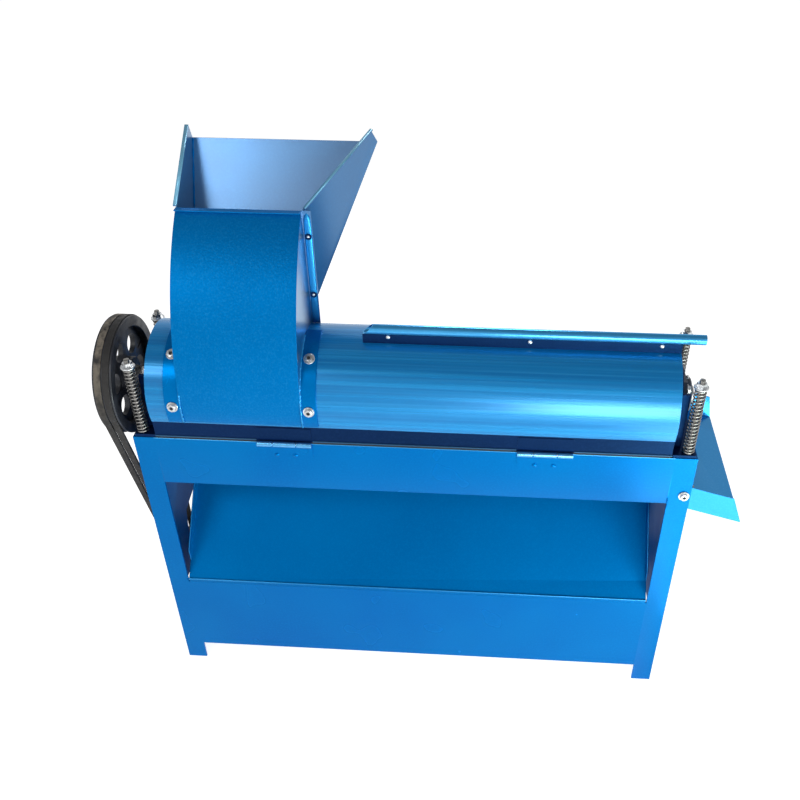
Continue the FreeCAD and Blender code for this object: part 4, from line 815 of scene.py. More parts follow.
def solids_of(node):
    """Each loose solid's lowest and highest corner. Every point takes the lowest number among the points
    of its triangles, again and again, until nothing changes and each solid has one number."""
    mesh = frame["nodes"][node].data
    mesh.calc_loop_triangles()
    points = numbers(mesh.vertices, "co", 3)
    rounded = np.round(points / 1e-5).astype(int)
    _, first, same = np.unique(rounded, axis=0, return_index=True, return_inverse=True)
    triangles = same.reshape(-1)[numbers(mesh.loop_triangles, "vertices", 3, int)]
    label, settled = np.arange(len(first)), False
    while not settled:
        lowest = label.copy()
        np.minimum.at(lowest, triangles.ravel(), np.repeat(label[triangles].min(axis=1), 3))
        lowest = lowest[lowest]
        label, settled = lowest, (lowest == label).all()
    places = (points[first] - CORNER) / MM
    return [(places[label == solid].min(axis=0), places[label == solid].max(axis=0))
            for solid in np.unique(label)]


print("cover screws", len(solids_of("cover_screws")), "hinge screws", len(solids_of("hinge_screws")))

# %% [markdown]
# The collar bolts stand square to the straps, at two angles on each. The studs carry a washer and a
# nut over the spring, and a nut under the rail.
# %% Collar bolts, studs and nuts
collar_bolts = []
for middle in (NECK_LEFT - STRAP_WIDTH / 2, NECK_RIGHT + STRAP_WIDTH / 2):
    for lift in np.radians((4.0, 54.0)):
        facing = np.array([0.0, -math.cos(lift), math.sin(lift)])
        seat = np.array([middle, DRUM_Y, DRUM_Z]) + strap_outer * facing
        collar_bolts += bolt_set(seat, facing)
        socket_shade(seat, facing, "cover")
build("collar_bolt_set", joined(*collar_bolts), "collar_bolts")

UP = (0, 0, 1)
washer_low, washer_high = span("spring_washers")
nut_feet = (washer_high[2], span("stud_nuts")[0][2])
rod = threaded(STUD_RADIUS - 0.1, stud_low[2], stud_high[2] - 0.4)
washer = ring(13.0, STUD_RADIUS + 0.1, washer_low[2], washer_high[2], 0.6)
nuts = [hexagon(9.0, foot, foot + 8.0, bore=STUD_RADIUS + 0.05) for foot in nut_feet]
places = [(x, y, 0) for x, y in stud_places]
build("carrier_stud_rods", joined(*[placed(rod, place, UP) for place in places]), "carrier_studs",
      finish=spring_wire)
build("spring_washer_set", joined(*[placed(washer, place, UP) for place in places]), "spring_washers")
build("stud_nut_set", joined(*[placed(nut, place, UP) for place in places for nut in nuts]), "stud_nuts")
print("collar bolts", len(collar_bolts) // 2, "studs", len(places))

# %% [markdown]
# The other fasteners are found by asking the frame where each solid of a node lies. A bolt's seat is
# the side of its box that its head is on, and its direction is known from the piece that it holds.
# %% Bolts and screws found from the frame


def seats(node, facing_of, head):
    """Seat and direction of each solid's fastener: the side of its box that it looks to, less its head."""
    found = []
    for low, high in solids_of(node):
        facing = np.array(facing_of(low, high), float)
        side = np.where(facing < 0, low, np.where(facing > 0, high, (low + high) / 2))
        found.append((side - facing * head, facing))
    return found


def to_the_end(low, high):
    """Away from the machine's middle, along X."""
    return (-1, 0, 0) if high[0] < FRAME_LENGTH / 2 else (1, 0, 0)


def off_the_leg(low, high):
    """To the front where the bolt stands before the frame, and else to the right."""
    return (0, -1, 0) if low[1] < -1 else (1, 0, 0)


def upwards(low, high):
    """Straight up."""
    return UP


def forwards(low, high):
    """Straight to the front."""
    return (0, -1, 0)


for name, node, facing_of, body in (("bearing_bolt_set", "bearing_bolts", to_the_end, "carriers"),
                                    ("chute_bolt_set", "chute_bolts", off_the_leg, "frame"),
                                    ("motor_bolt_set", "motor_bolts", upwards, None)):
    found = seats(node, facing_of, BOLT_TOP)
    build(name, joined(*[part for place in found for part in bolt_set(*place)]), node)
    for place in found if body else ():
        socket_shade(*place, body)
    print(name, len(found))
STRIP_BEAD = 3.0
SCREW_HEAD = 2.5
screw_parts, screw_rings = [], []
for seat, facing in seats("cover_screws", forwards, SCREW_HEAD):
    on_strip = seat[0] < NECK_RIGHT + 20
    seat = seat + facing * (STRIP_BEAD if on_strip else 0.0)
    screw_parts += pan_screw(seat, facing, 3.2 if on_strip else 4.2, 2.6)
    if on_strip:
        screw_rings.append(placed(ring(6.0, 2.8, -1.5, 0.8), seat, facing))
build("cover_screw_set", joined(*screw_parts), "cover_screws")
extra("strip_screw_rings", joined(*screw_rings), "cover", "dark_blue_paint", angle=35)
hinge_parts = [part for place in seats("hinge_screws", forwards, SCREW_HEAD) for part in pan_screw(*place)]
build("hinge_screw_set", joined(*hinge_parts), "hinge_screws", finish=blue_enamel)
# Painted shade: a black disc in each bolt's socket.
for body, discs in SOCKET_SHADES.items():
    extra(body + "_socket_shades", joined(*discs), body, "black_paint", angle=35)
print("screws", len(screw_parts) + len(hinge_parts))

# %% [markdown]
# The large pulley is a casting: a rim with two V grooves, a hub, and a web with six round holes. The
# rim and hub are turned profiles. The web is six like sectors, and in each one a grid runs from the
# hole's circle to the sector's four sides, so the hole is round and no face crosses it.
# %% Rotor pulley
pulley_low, pulley_high = span("rotor_pulley")
PULLEY_MIDDLE = (pulley_low[0] + pulley_high[0]) / 2
PULLEY_HALF = (pulley_high[0] - pulley_low[0]) / 2
PULLEY_RADIUS = (pulley_high[2] - pulley_low[2]) / 2
GROOVE_PITCH, GROOVE_DEEP, GROOVE_TOP, GROOVE_FOOT = 15.0, 11.0, 6.5, 3.8
RIM_DEPTH, WEB_WALL, HUB_RADIUS = 20.0, 10.0, 34.0
HOLE_CIRCLE, HOLE_RADIUS, HOLES = 59.0, 19.0, 6
SHAFT_RADIUS = 17.5


def groove_profile(radius):
    """The rim's outer line with its two grooves, as (radius, along) pairs from left to right."""
    line = [(radius - 1, -PULLEY_HALF), (radius, -PULLEY_HALF + 1)]
    for middle in (-GROOVE_PITCH / 2, GROOVE_PITCH / 2):
        line += [(radius, middle - GROOVE_TOP), (radius - GROOVE_DEEP, middle - GROOVE_FOOT),
                 (radius - GROOVE_DEEP, middle + GROOVE_FOOT), (radius, middle + GROOVE_TOP)]
    return line + [(radius, PULLEY_HALF - 1), (radius - 1, PULLEY_HALF)]


def web_sector(index, side, rings=5, count=12):
    """One sector's face: points go from the hole's circle to the sector's outline by a share of the way."""
    middle, half = math.radians(45 + index * 360 / HOLES), math.pi / HOLES
    near, far = HUB_RADIUS - 1, PULLEY_RADIUS - RIM_DEPTH + 1
    swing = np.linspace(-half, half, count)
    across = np.linspace(near, far, count)
    outline_r = np.concatenate([np.full(count - 1, far), across[:0:-1], np.full(count - 1, near), across[:-1]])
    outline_t = np.concatenate([swing[:-1], np.full(count - 1, half), swing[:0:-1], np.full(count - 1, -half)])
    steps = 4 * (count - 1)
    round_turn = np.radians(-45 + 360 * np.arange(steps) / steps)
    hole_a, hole_b = HOLE_CIRCLE + HOLE_RADIUS * np.cos(round_turn), HOLE_RADIUS * np.sin(round_turn)
    edge_a, edge_b = outline_r * np.cos(outline_t), outline_r * np.sin(outline_t)
    share = (np.linspace(0, 1, rings) ** 1.3)[:, None]
    a, b = hole_a + (edge_a - hole_a) * share, hole_b + (edge_b - hole_b) * share
    y, z = a * math.cos(middle) - b * math.sin(middle), a * math.sin(middle) + b * math.cos(middle)
    x = np.full(y.shape, PULLEY_MIDDLE + side * WEB_WALL / 2)
    return np.stack([x, y + DRUM_Y, z + DRUM_Z], axis=-1), steps


def web():
    """Both faces of every sector, with the hole's wall between them."""
    parts = []
    for index in range(HOLES):
        left, steps = web_sector(index, -1)
        right, _ = web_sector(index, 1)
        shell = np.concatenate([left[::-1], right])
        parts.append((shell.reshape(-1, 3), grid_faces(len(shell), steps, True, True)))
    return parts


axis_point = (PULLEY_MIDDLE, DRUM_Y, DRUM_Z)
dish = PULLEY_RADIUS - RIM_DEPTH
rim = turned(groove_profile(PULLEY_RADIUS) + [(dish + 1.5, PULLEY_HALF), (dish, PULLEY_HALF - 1.5),
                                              (dish, -PULLEY_HALF + 1.5), (dish + 1.5, -PULLEY_HALF)],
             axis_point, "x", 120)
hub = round_bar(pulley_low[0], pulley_high[0], HUB_RADIUS, drum_centre, 2.0, SHAFT_RADIUS, 64)
build("rotor_pulley_casting", joined(rim, hub, *web()), "rotor_pulley", angle=30)
print("rotor pulley radius", round(PULLEY_RADIUS), "holes", HOLES)

# %% [markdown]
# The motor's pulley is a small one of the same kind, with the same grooves and a plain bore.
# %% Motor pulley
small_low, small_high = span("motor_pulley")
MOTOR_Y, MOTOR_Z = (small_low[1] + small_high[1]) / 2, (small_low[2] + small_high[2]) / 2
MOTOR_PULLEY = (small_high[2] - small_low[2]) / 2
MOTOR_SHAFT = 12.0
small_axis = (PULLEY_MIDDLE, MOTOR_Y, MOTOR_Z)
small_bore = [(MOTOR_SHAFT, PULLEY_HALF), (MOTOR_SHAFT, -PULLEY_HALF)]
build("motor_pulley_casting", turned(groove_profile(MOTOR_PULLEY) + small_bore, small_axis, "x", 72),
      "motor_pulley", angle=30)
print("motor pulley radius", round(MOTOR_PULLEY))

# %% [markdown]
# Two V-belts run side by side over both pulleys. A belt's line is the outline round two circles: for
# each outward direction it is the circle that reaches further, and the straight runs fall between
# the two arcs by themselves. The belt's section is a trapezoid that rides in the groove.
# %% Drive belts
BELT_PROUD, BELT_TOP, BELT_FOOT, BELT_DEEP = 2.0, 6.2, 3.5, 8.0


def belt_run():
    """Points and outward directions of the belt's back: arcs on both pulleys and points on the runs."""
    big, little = np.array([DRUM_Y, DRUM_Z]), np.array([MOTOR_Y, MOTOR_Z])
    way = little - big
    heading = math.degrees(math.atan2(way[1], way[0]))
    lean = math.degrees(math.asin((PULLEY_RADIUS - MOTOR_PULLEY) / np.linalg.norm(way)))
    half = 90 - lean
    arcs = [(big, PULLEY_RADIUS, np.linspace(heading + half, heading + 360 - half, 90)),
            (little, MOTOR_PULLEY, np.linspace(heading - half, heading + half, 48))]
    points, directions = [], []
    for centre, radius, turn in arcs:
        facing = circle(1.0, turn[0], turn[-1], len(turn))
        points.append(centre + (radius + BELT_PROUD) * facing)
        directions.append(facing)
    for start, end in ((0, 1), (1, 0)):
        points.append(np.linspace(points[start][-1], points[end][0], 30)[1:-1])
        directions.append(np.repeat(directions[start][-1:], 28, axis=0))
    order = (0, 2, 1, 3)
    return np.concatenate([points[k] for k in order]), np.concatenate([directions[k] for k in order])


run, facing = belt_run()
half_section = [(BELT_TOP - 0.8, 0.0), (BELT_TOP, -0.8), (BELT_TOP - 0.35, -2.0), (BELT_FOOT, -BELT_DEEP)]
belt_section = half_section + [(-a, b) for a, b in half_section[::-1]]
belt_parts = []
for middle in (-GROOVE_PITCH / 2, GROOVE_PITCH / 2):
    path = np.column_stack([np.full(len(run), PULLEY_MIDDLE + middle), run])
    outwards = np.column_stack([np.zeros(len(run)), facing])
    sideways = np.broadcast_to([1.0, 0.0, 0.0], path.shape)
    belt_parts.append(carried(belt_section, path, sideways, outwards, closed=True))
belts = made("drive_belt_pair", joined(*belt_parts), belt_rubber, 30)
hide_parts("drive_belts")
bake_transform(belts)
belt_line = np.linalg.norm(np.diff(run, axis=0, append=run[:1]), axis=1).sum()
print("belts", len(belt_parts), "each", round(belt_line), "mm round the back")

# %% [markdown]
# The cover hangs on two butt hinges. A hinge is two plates whose edges are rolled round a pin, in
# turns: two knuckles belong to the plate on the frame and the one between them to the plate on the
# cover. Each knuckle is a turned ring with eased ends, so the gaps between them show as fine lines.
# %% Cover hinges
KNUCKLE_RADIUS = 5.5
HINGE_MIDDLE = 42.0
KNUCKLE_GAP = 1.2
LEAF = 2.0


def slab(outline, start, end):
    """An outline of (x, z) pairs drawn out along Y, with its two ends closed."""
    points, faces = drawn_out(outline, start, end)
    return points[:, [1, 0, 2]], faces


def rounded_box(low, high, radius, upper=True):
    """The outline of a rectangle whose corners are quarter circles. Without upper, only the lower ones."""
    (x0, z0), (x1, z1) = low, high
    corners = [circle(radius, 180, 270, 7, (x0 + radius, z0 + radius)),
               circle(radius, 270, 360, 7, (x1 - radius, z0 + radius))]
    if upper:
        corners += [circle(radius, 0, 90, 7, (x1 - radius, z1 - radius)),
                    circle(radius, 90, 180, 7, (x0 + radius, z1 - radius))]
    else:
        corners += [np.array([[x1, z1], [x0, z1]])]
    return np.concatenate(corners)


def oblong(x0, z0, x1, z1):
    """The outline of a plain rectangle."""
    return np.array([[x0, z0], [x1, z0], [x1, z1], [x0, z1]])


frame_leaf_low, cover_leaf_high = span("hinge_frame_leaves")[0], span("hinge_cover_leaves")[1]
leaf_y = cover_leaf_high[1]
frame_hinge, cover_hinge, pins, frame_rolls, cover_rolls, hinge_spans = [], [], [], [], [], []
for low, high in solids_of("hinge_pins"):
    y, z, middle = (low[1] + high[1]) / 2, (low[2] + high[2]) / 2, (low[0] + high[0]) / 2
    bore = (high[2] - low[2]) / 2
    left, right = middle - HINGE_MIDDLE / 2, middle + HINGE_MIDDLE / 2
    for start, end in ((low[0], left - KNUCKLE_GAP), (right + KNUCKLE_GAP, high[0])):
        frame_rolls.append(round_bar(start, end, KNUCKLE_RADIUS, (y, z), 0.5, bore))
        frame_hinge.append(slab(oblong(start, z - 5, end, z), -LEAF, 0.0))
    frame_hinge.append(slab(rounded_box((low[0], frame_leaf_low[2]), (high[0], z - 4.5), 7, False), -LEAF, 0.0))
    cover_rolls.append(round_bar(left, right, KNUCKLE_RADIUS, (y, z), 0.5, bore))
    cover_hinge.append(slab(oblong(left, z, right, z + 7), leaf_y - LEAF, leaf_y - 0.8))
    cover_hinge.append(slab(rounded_box((low[0], z + 6), (high[0], cover_leaf_high[2]), 2),
                            leaf_y - LEAF, leaf_y))
    pins.append(round_bar(low[0], high[0], bore, (y, z), 0.4, 0.0, 24))
    hinge_spans.append((low[0], high[0]))
# The rolls' paler, glossier enamel is a painted highlight along the knuckles.
for name, parts, node, finish in (
        ("hinge_plates_frame", frame_hinge, "hinge_frame_leaves", blue_enamel),
        ("hinge_plates_cover", cover_hinge, "hinge_cover_leaves", dark_enamel),
        ("hinge_rolls_frame", frame_rolls, "hinge_frame_leaves", hinge_finish),
        ("hinge_rolls_cover", cover_rolls, "hinge_cover_leaves", hinge_finish),
        ("hinge_pin_rods", pins, "hinge_pins", None)):
    build(name, joined(*parts), node, finish=finish)
print("hinges", [tuple(float(round(v)) for v in pair) for pair in hinge_spans])

# %% [markdown]
# Fine edges make sheet steel look real: the tray's rolled front lip, the raised edges of its two
# guards, and the bead along the foot of the cover all catch a line of light. Each is a thin round bar
# carried along the edge. Where two sheets are welded, the bead is lumpy: its radius wanders along the
# path by a few seeded waves.
# %% Edge beads


def bead(path, radius, seed=None):
    """A round bar along a path of points. The radius is constant, or with a seed it is changed by three
    sine waves of random length and phase. The section stands square to the path's own direction."""
    path = np.asarray(path, float)
    along = np.gradient(path, axis=0)
    along /= np.linalg.norm(along, axis=1)[:, None]
    guide = np.array([1.0, 0.0, 0.0]) if np.abs(along[:, 0]).max() < 0.9 else np.array([0.0, 0.0, 1.0])
    side = np.cross(along, guide)
    side /= np.linalg.norm(side, axis=1)[:, None]
    size = np.full(len(path), float(radius))
    if seed is not None:
        luck = np.random.default_rng(seed)
        steps = np.arange(len(path))[:, None]
        waves = np.sin(steps * luck.uniform(0.5, 2.2, 3) + luck.uniform(0, 6.28, 3))
        size *= 1 + 0.16 * waves.sum(axis=1)
    up = np.cross(side, along)
    return carried(circle(1.0, 0, 315, 8), path, side * size[:, None], up * size[:, None])


def straight(start, end, count=2):
    """Points from start to end."""
    return np.linspace(np.array(start, float), np.array(end, float), count)


tray_low, tray_high = span("kernel_tray")
TRAY_GUARD = 28.0
TRAY_FRONT = span("front_skirt")[1][2] + 9.0
tray_slope = (tray_high[2] - TRAY_GUARD - TRAY_FRONT) / tray_high[1]
guard_rear = tray_high[1] - 3
trims = [bead(straight((tray_low[0], -0.3, TRAY_FRONT), (tray_high[0], -0.3, TRAY_FRONT)), 2.0)]
for x in (tray_low[0] + 1, tray_high[0] - 1):
    foot = TRAY_FRONT + tray_slope * TRAY_GUARD
    knee = (x, TRAY_GUARD, foot + TRAY_GUARD)
    trims.append(bead(straight(knee, (x, guard_rear, TRAY_FRONT + tray_slope * guard_rear + TRAY_GUARD)), 1.4))
    trims.append(bead(straight(knee, (x, TRAY_GUARD, foot)), 1.4))
# The tray's beads are paler than the tray, a painted highlight along its edges.
extra("tray_edge_beads", joined(*trims), "frame", "blue_paint", pale_highlight_enamel)
print("tray beads", len(trims), "tray slope", round(tray_slope, 3))

# %% [markdown]
# The beam's upper edge shines where it is folded. Above it, the foot of the cover ends in a bead that
# leaves out the two hinges, so it is made of the runs between them.
# %% Beads of the closing joint
BEAD_RISE = 2.0
BEAM_EDGE = 0.6
flange_low = span("cover_flanges")[0]
edge_runs = [cover_low[0], *[place for low, high in sorted(hinge_spans) for place in (low - 2, high + 2)],
             cover_high[0]]
beam_edge = straight((LEG_WIDTH, BEAM_EDGE, FRAME_TOP - BEAM_EDGE),
                     (FRAME_LENGTH - LEG_WIDTH, BEAM_EDGE, FRAME_TOP - BEAM_EDGE))
# The beam's edge bead is paler than the beam, a painted highlight along the fold.
extra("beam_edge_bead", bead(beam_edge, 1.0), "frame", "blue_paint", edge_highlight_enamel)
bead_y, bead_z = flange_low[1] - 0.4, flange_low[2] + BEAD_RISE
foot_beads = [bead(straight((start, bead_y, bead_z), (end, bead_y, bead_z)), 1.5)
              for start, end in zip(edge_runs[::2], edge_runs[1::2])]
# The cover's foot bead is greyer and lighter than its dark flange, a painted highlight along the foot.
extra("cover_foot_beads", joined(*foot_beads), "cover", "dark_blue_paint", motor_enamel)
print("joint beads", len(foot_beads) + 1)

# %% [markdown]
# The neck is welded to the straps along two arcs, the frame's sheets to the legs by short tacks, and
# the hopper's back to its sides up both corners. All of them are lumpy beads under the paint.
# %% Weld beads
arc = circle(strap_outer + 0.3, 180 + STRAP_DROP, 100, 90, drum_centre)
neck_welds = [bead(np.column_stack([np.full(len(arc), x), arc]), 1.9, seed)
              for seed, x in enumerate((NECK_LEFT, NECK_RIGHT))]
tacks = ((LEG_WIDTH, 245, 262), (FRAME_LENGTH - LEG_WIDTH, 508, 530))
frame_welds = [bead(straight((x, -0.4, low), (x, -0.4, high), 60), 1.0, seed + 10)
               for seed, (x, low, high) in enumerate(tacks)]
back_low, back_high = span("hopper_back_panel")
corners = ((back_low[0] + 0.5, back_low[0] + 0.5, 1.4, 20), (NECK_RIGHT - SHEET, back_high[0], 1.3, 21))
seams = [bead(straight((foot, back_low[1], back_low[2] + 2), (top, back_high[1] - 2, back_high[2] - 1), 70),
              radius, seed) for foot, top, radius, seed in corners]
# The neck's weld beads are paler than the neck, a painted highlight on their lumps.
extra("neck_weld_beads", joined(*neck_welds), "cover", "blue_paint", pale_highlight_enamel)
extra("frame_weld_beads", joined(*frame_welds), "frame", "blue_paint")
extra("hopper_corner_seams", joined(*seams), "cover", "blue_paint")
print("welds", len(neck_welds + frame_welds + seams))

# %% [markdown]
# The hopper's side walls end in a lip folded outwards, and its upper face shines. That face is taken
# from the walls' own triangles and moved out by the thickness of a coat, so that it can carry a paler enamel as
# a painted highlight.
# %% Hopper rims
RIM_COAT = 0.15


def rim_faces(node):
    """The triangles of a wall that look up, moved out along their normals by the coat's thickness."""
    mesh = frame["nodes"][node].data
    mesh.calc_loop_triangles()
    normals = numbers(mesh.loop_triangles, "normal", 3)
    upward = normals[:, 2] > 0.6
    corners = numbers(mesh.vertices, "co", 3)[numbers(mesh.loop_triangles, "vertices", 3, int)[upward]]
    points = ((corners - CORNER) / MM + RIM_COAT * normals[upward][:, None]).reshape(-1, 3)
    return points, np.arange(len(points)).reshape(-1, 3)


rims = joined(*[rim_faces(node) for node in ("hopper_left_wall", "hopper_right_wall")])
thickened(extra("hopper_rim_highlights", rims, "cover", "blue_paint", rim_highlight_enamel), RIM_COAT, 0.0)
print("rim triangles", len(rims[1]))

# %% [markdown]
# The strip beside the neck that holds the hopper's screws has a rolled, rounded front. Its section is
# half an ellipse with a flat back, and it shrinks at both ends by a steep power of the way along.
# %% Screw strip
STRIP_FOOT, STRIP_HALF, STRIP_STEPS = 792.0, 6.5, 40
swing = np.radians(np.linspace(0, 360, 20, endpoint=False))
strip_section = np.column_stack([STRIP_HALF * np.cos(swing), np.minimum(-STRIP_BEAD * np.sin(swing), 1.0)])
shrink = 0.02 + np.sqrt(np.clip(1 - np.abs(np.linspace(-1, 1, STRIP_STEPS)) ** 14, 0, 1))[:, None]
strip_path = straight((NECK_RIGHT + 7.5, NECK_REAR - SHEET, STRIP_FOOT),
                      (NECK_RIGHT + 7.5, NECK_REAR - SHEET, NECK_TOP - 4), STRIP_STEPS)
strip = carried(strip_section, strip_path, shrink * [1.0, 0.0, 0.0], shrink * [0.0, 1.0, 0.0])
# The strip is paler than the neck, a painted highlight on its rounded front.
extra("neck_screw_strip", strip, "cover", "blue_paint", pale_highlight_enamel)
print("strip from", STRIP_FOOT, "to", round(NECK_TOP - 4))

# %% [markdown]
# The rotor is a welded drum on a shaft with four slanting ribs that drag the nuts over the bars. A rib
# is a bar carried along a helix: the angle grows evenly with the way along the shaft. Under it lies
# the concave, thirteen round rods that rest in nine ribs.
# %% Rotor and concave
drum_low, drum_high = span("rotor_drum")
rib_low, rib_high = span("rotor_beater_ribs")
ROTOR_RADIUS = (drum_high[2] - drum_low[2]) / 2
RIB_TOP = (rib_high[2] - rib_low[2]) / 2
RIB_WIDTH = 10.0
RIB_PITCH = 1250.0
shaft_line = (0, DRUM_Y, DRUM_Z)
build("rotor_shaft_bar", shaft(shaft_low[0], shaft_high[0], SHAFT_RADIUS, [(0, 6), (2, 3), (5, 0)],
                               drum_centre, 48), "rotor_shaft")
build("rotor_drum_shell", round_bar(drum_low[0], drum_high[0], ROTOR_RADIUS, drum_centre, 2.0,
                                    SHAFT_RADIUS, 96), "rotor_drum")
rib_x = np.linspace(rib_low[0], rib_high[0] - RIB_WIDTH, 120)
rib_rise = RIB_TOP - ROTOR_RADIUS
rib_section = [(0, -0.5), (RIB_WIDTH, -0.5), (RIB_WIDTH, rib_rise - 1.5), (RIB_WIDTH - 1.5, rib_rise),
               (1.5, rib_rise), (0, rib_rise - 1.5)]
ribs = []
for quarter in range(4):
    turn = 2 * np.pi * (rib_x - rib_x[0]) / RIB_PITCH + quarter * np.pi / 2
    radial = np.column_stack([0 * turn, np.cos(turn), np.sin(turn)])
    path = np.column_stack([rib_x, np.tile(drum_centre, (len(turn), 1))]) + ROTOR_RADIUS * radial
    ribs.append(carried(rib_section, path, np.broadcast_to([1.0, 0.0, 0.0], path.shape), radial))
build("rotor_rib_bars", joined(*ribs), "rotor_beater_ribs")
rods = [round_bar(low[0], high[0], (high[2] - low[2]) / 2, (low[1:] + high[1:]) / 2, count=20)
        for low, high in solids_of("concave_rods")]
build("concave_rod_row", joined(*rods), "concave_rods")
print("rotor", round(ROTOR_RADIUS), "ribs to", round(RIB_TOP), "rods", len(rods))

# %% [markdown]
# A flanged bearing unit is a square casting with a round boss, a steel inner ring and a grease nipple.
# The flange is an outline with cut corners drawn out along X, and the boss and rings are turned.
# %% Bearing units
BEARING_HALF, BEARING_CUT, BEARING_BASE, BOSS = 48.0, 14.0, 12.0, 34.0


def bored_plate(start, end):
    """A square plate with cut corners round the shaft. In each direction its edge is the nearest of the
    square's side, half over the larger of cosine and sine, and the corner's line, over their sum."""
    corner = math.atan2(BEARING_HALF - BEARING_CUT, BEARING_HALF)
    corners = [quarter * np.pi / 2 + side * corner for quarter in range(4) for side in (-1, 1)]
    turn = np.unique(np.round(np.concatenate([np.linspace(0, 2 * np.pi, 40, endpoint=False),
                                              np.mod(corners, 2 * np.pi)]), 6))
    c, s = np.abs(np.cos(turn)), np.abs(np.sin(turn))
    reach = np.minimum(BEARING_HALF / np.maximum(c, s), (2 * BEARING_HALF - BEARING_CUT) / (c + s))
    bore = np.full(len(turn), SHAFT_RADIUS + 0.05)
    rings = [(bore, start), (reach, start), (reach, end), (bore, end)]
    points = np.stack([np.stack([reach * 0 + x, DRUM_Y + r * np.cos(turn), DRUM_Z + r * np.sin(turn)], axis=-1)
                       for r, x in rings], axis=1)
    return points.reshape(-1, 3), grid_faces(len(turn), 4, True, True)


castings, rings = [], []
for low, high in solids_of("bearing_units"):
    at_left = high[0] < FRAME_LENGTH / 2
    seat, sign = (high[0], -1.0) if at_left else (low[0], 1.0)
    castings.append(bored_plate(*sorted((seat, seat + sign * BEARING_BASE))))
    reach = seat + sign * (high[0] - low[0])
    face = reach - sign * 3
    castings.append(turned([(SHAFT_RADIUS + 0.05, seat + sign * 2), (BOSS, seat + sign * 2), (BOSS, face),
                            (BOSS - 3, reach), (26, reach), (25, face), (SHAFT_RADIUS + 0.05, face)],
                           shaft_line, "x", 64))
    rings.append(turned([(SHAFT_RADIUS + 0.1, face - sign), (24.5, face - sign), (24.5, face + sign * 1.2),
                         (SHAFT_RADIUS + 0.1, face + sign * 1.2)], shaft_line, "x", 48))
    nipple = [(0, 0), (3.5, 0), (3.5, 3), (2.2, 4), (2.6, 6.5), (1.6, 8), (0, 8)]
    rings.append(placed(turned(nipple, (0, 0, 0), "z", 16), (seat + sign * 18, DRUM_Y, DRUM_Z + BOSS - 1), UP))
build("bearing_unit_castings", joined(*castings), "bearing_units", edge=0.8)
extra("bearing_inner_rings", joined(*rings), "carriers", "bright_steel", angle=35)
print("bearing units", len(castings) // 2)

# %% [markdown]
# The motor is a finned barrel between two end bells, with a fan cover, a terminal box and feet. The
# fins are one small box repeated round the barrel: its corners are turned by every fin's angle at once.
# %% Motor
MOTOR_START, MOTOR_RADIUS, MOTOR_FINS = span("motor_housing")[0][0], 70.0, 36
motor_line = (0, MOTOR_Y, MOTOR_Z)
fan_low, fan_high = span("motor_fan_cover")
plate_top = span("motor_base_plate")[1][2]
barrel = turned([(MOTOR_SHAFT + 0.05, MOTOR_START), (28, MOTOR_START), (35, MOTOR_START + 1),
                 (60, MOTOR_START + 7), (66, MOTOR_START + 9), (68, MOTOR_START + 12),
                 (66, MOTOR_START + 15), (64, fan_low[0] - 3),
                 (64, fan_low[0] + 8), (MOTOR_SHAFT + 0.05, fan_low[0] + 8)], motor_line, "x", 96)
fin_turn = np.linspace(0, 2 * np.pi, MOTOR_FINS, endpoint=False)
fin_turn = fin_turn[np.abs(np.angle(np.exp(1j * (fin_turn - np.pi / 2)))) > 0.42]
fin_box = np.array([(x, a, b) for x in (MOTOR_START + 14, fan_low[0] - 2)
                    for a in (-1.3, 1.3) for b in (62.0, MOTOR_RADIUS)])
radial = np.stack([0 * fin_turn, np.cos(fin_turn), np.sin(fin_turn)], axis=1)[:, None]
sideways = np.stack([0 * fin_turn, -np.sin(fin_turn), np.cos(fin_turn)], axis=1)[:, None]
fin_points = (fin_box[None, :, :1] * [1.0, 0, 0] + fin_box[None, :, 1:2] * sideways
              + fin_box[None, :, 2:] * radial + motor_line)
box_faces = [(0, 1, 3, 2), (4, 5, 7, 6), (0, 1, 5, 4), (2, 3, 7, 6), (0, 2, 6, 4), (1, 3, 7, 5)]
fins = [(points, box_faces) for points in fin_points]


def block(low, high):
    """A box between two corners."""
    points = [(x, y, z) for x in (low[0], high[0]) for y in (low[1], high[1]) for z in (low[2], high[2])]
    return np.array(points, float), box_faces


feet = []
for start in (MOTOR_START + 6, MOTOR_START + 101):
    feet.append(block((start, MOTOR_Y - 86, plate_top), (start + 35, MOTOR_Y + 86, plate_top + 10)))
    feet.append(block((start, MOTOR_Y - 64, plate_top + 10), (start + 35, MOTOR_Y + 64, MOTOR_Z - 35)))
box_low, box_high = span("motor_terminal_box")
feet.append(block((box_low[0] + 10, MOTOR_Y - 24, MOTOR_Z + 35), (box_high[0] - 10, MOTOR_Y + 24, box_low[2])))
build("motor_barrel", joined(barrel, *fins, *feet), "motor_housing", edge=0.5)
grille = [(radius, fan_high[0] - depth) for ring_radius in range(60, 14, -8)
          for radius, depth in ((ring_radius, 0), (ring_radius - 3, 0),
                                (ring_radius - 3.2, 1.6), (ring_radius - 7.8, 1.6))]
cap = [(MOTOR_RADIUS, fan_low[0]), (MOTOR_RADIUS + 2, fan_low[0]), (MOTOR_RADIUS + 2, fan_high[0] - 9),
       (MOTOR_RADIUS - 1, fan_high[0] - 3), (MOTOR_RADIUS - 8, fan_high[0]), *grille,
       (10, fan_high[0]), (0, fan_high[0]), (0, fan_high[0] - 2.5), (MOTOR_RADIUS - 10, fan_high[0] - 2.5),
       (MOTOR_RADIUS, fan_high[0] - 10)]
build("motor_fan_cap", turned(cap, motor_line, "x", 80), "motor_fan_cover")
lid = rounded_box((box_low[0], box_low[1]), (box_high[0], box_high[1]), 6)
inset = rounded_box((box_low[0] + 2, box_low[1] + 2), (box_high[0] - 2, box_high[1] - 2), 5)


def upright(outline, start, end):
    """An outline of (x, y) pairs drawn out along Z, with its two ends closed."""
    points, faces = drawn_out(outline, start, end)
    return points[:, [1, 2, 0]], faces


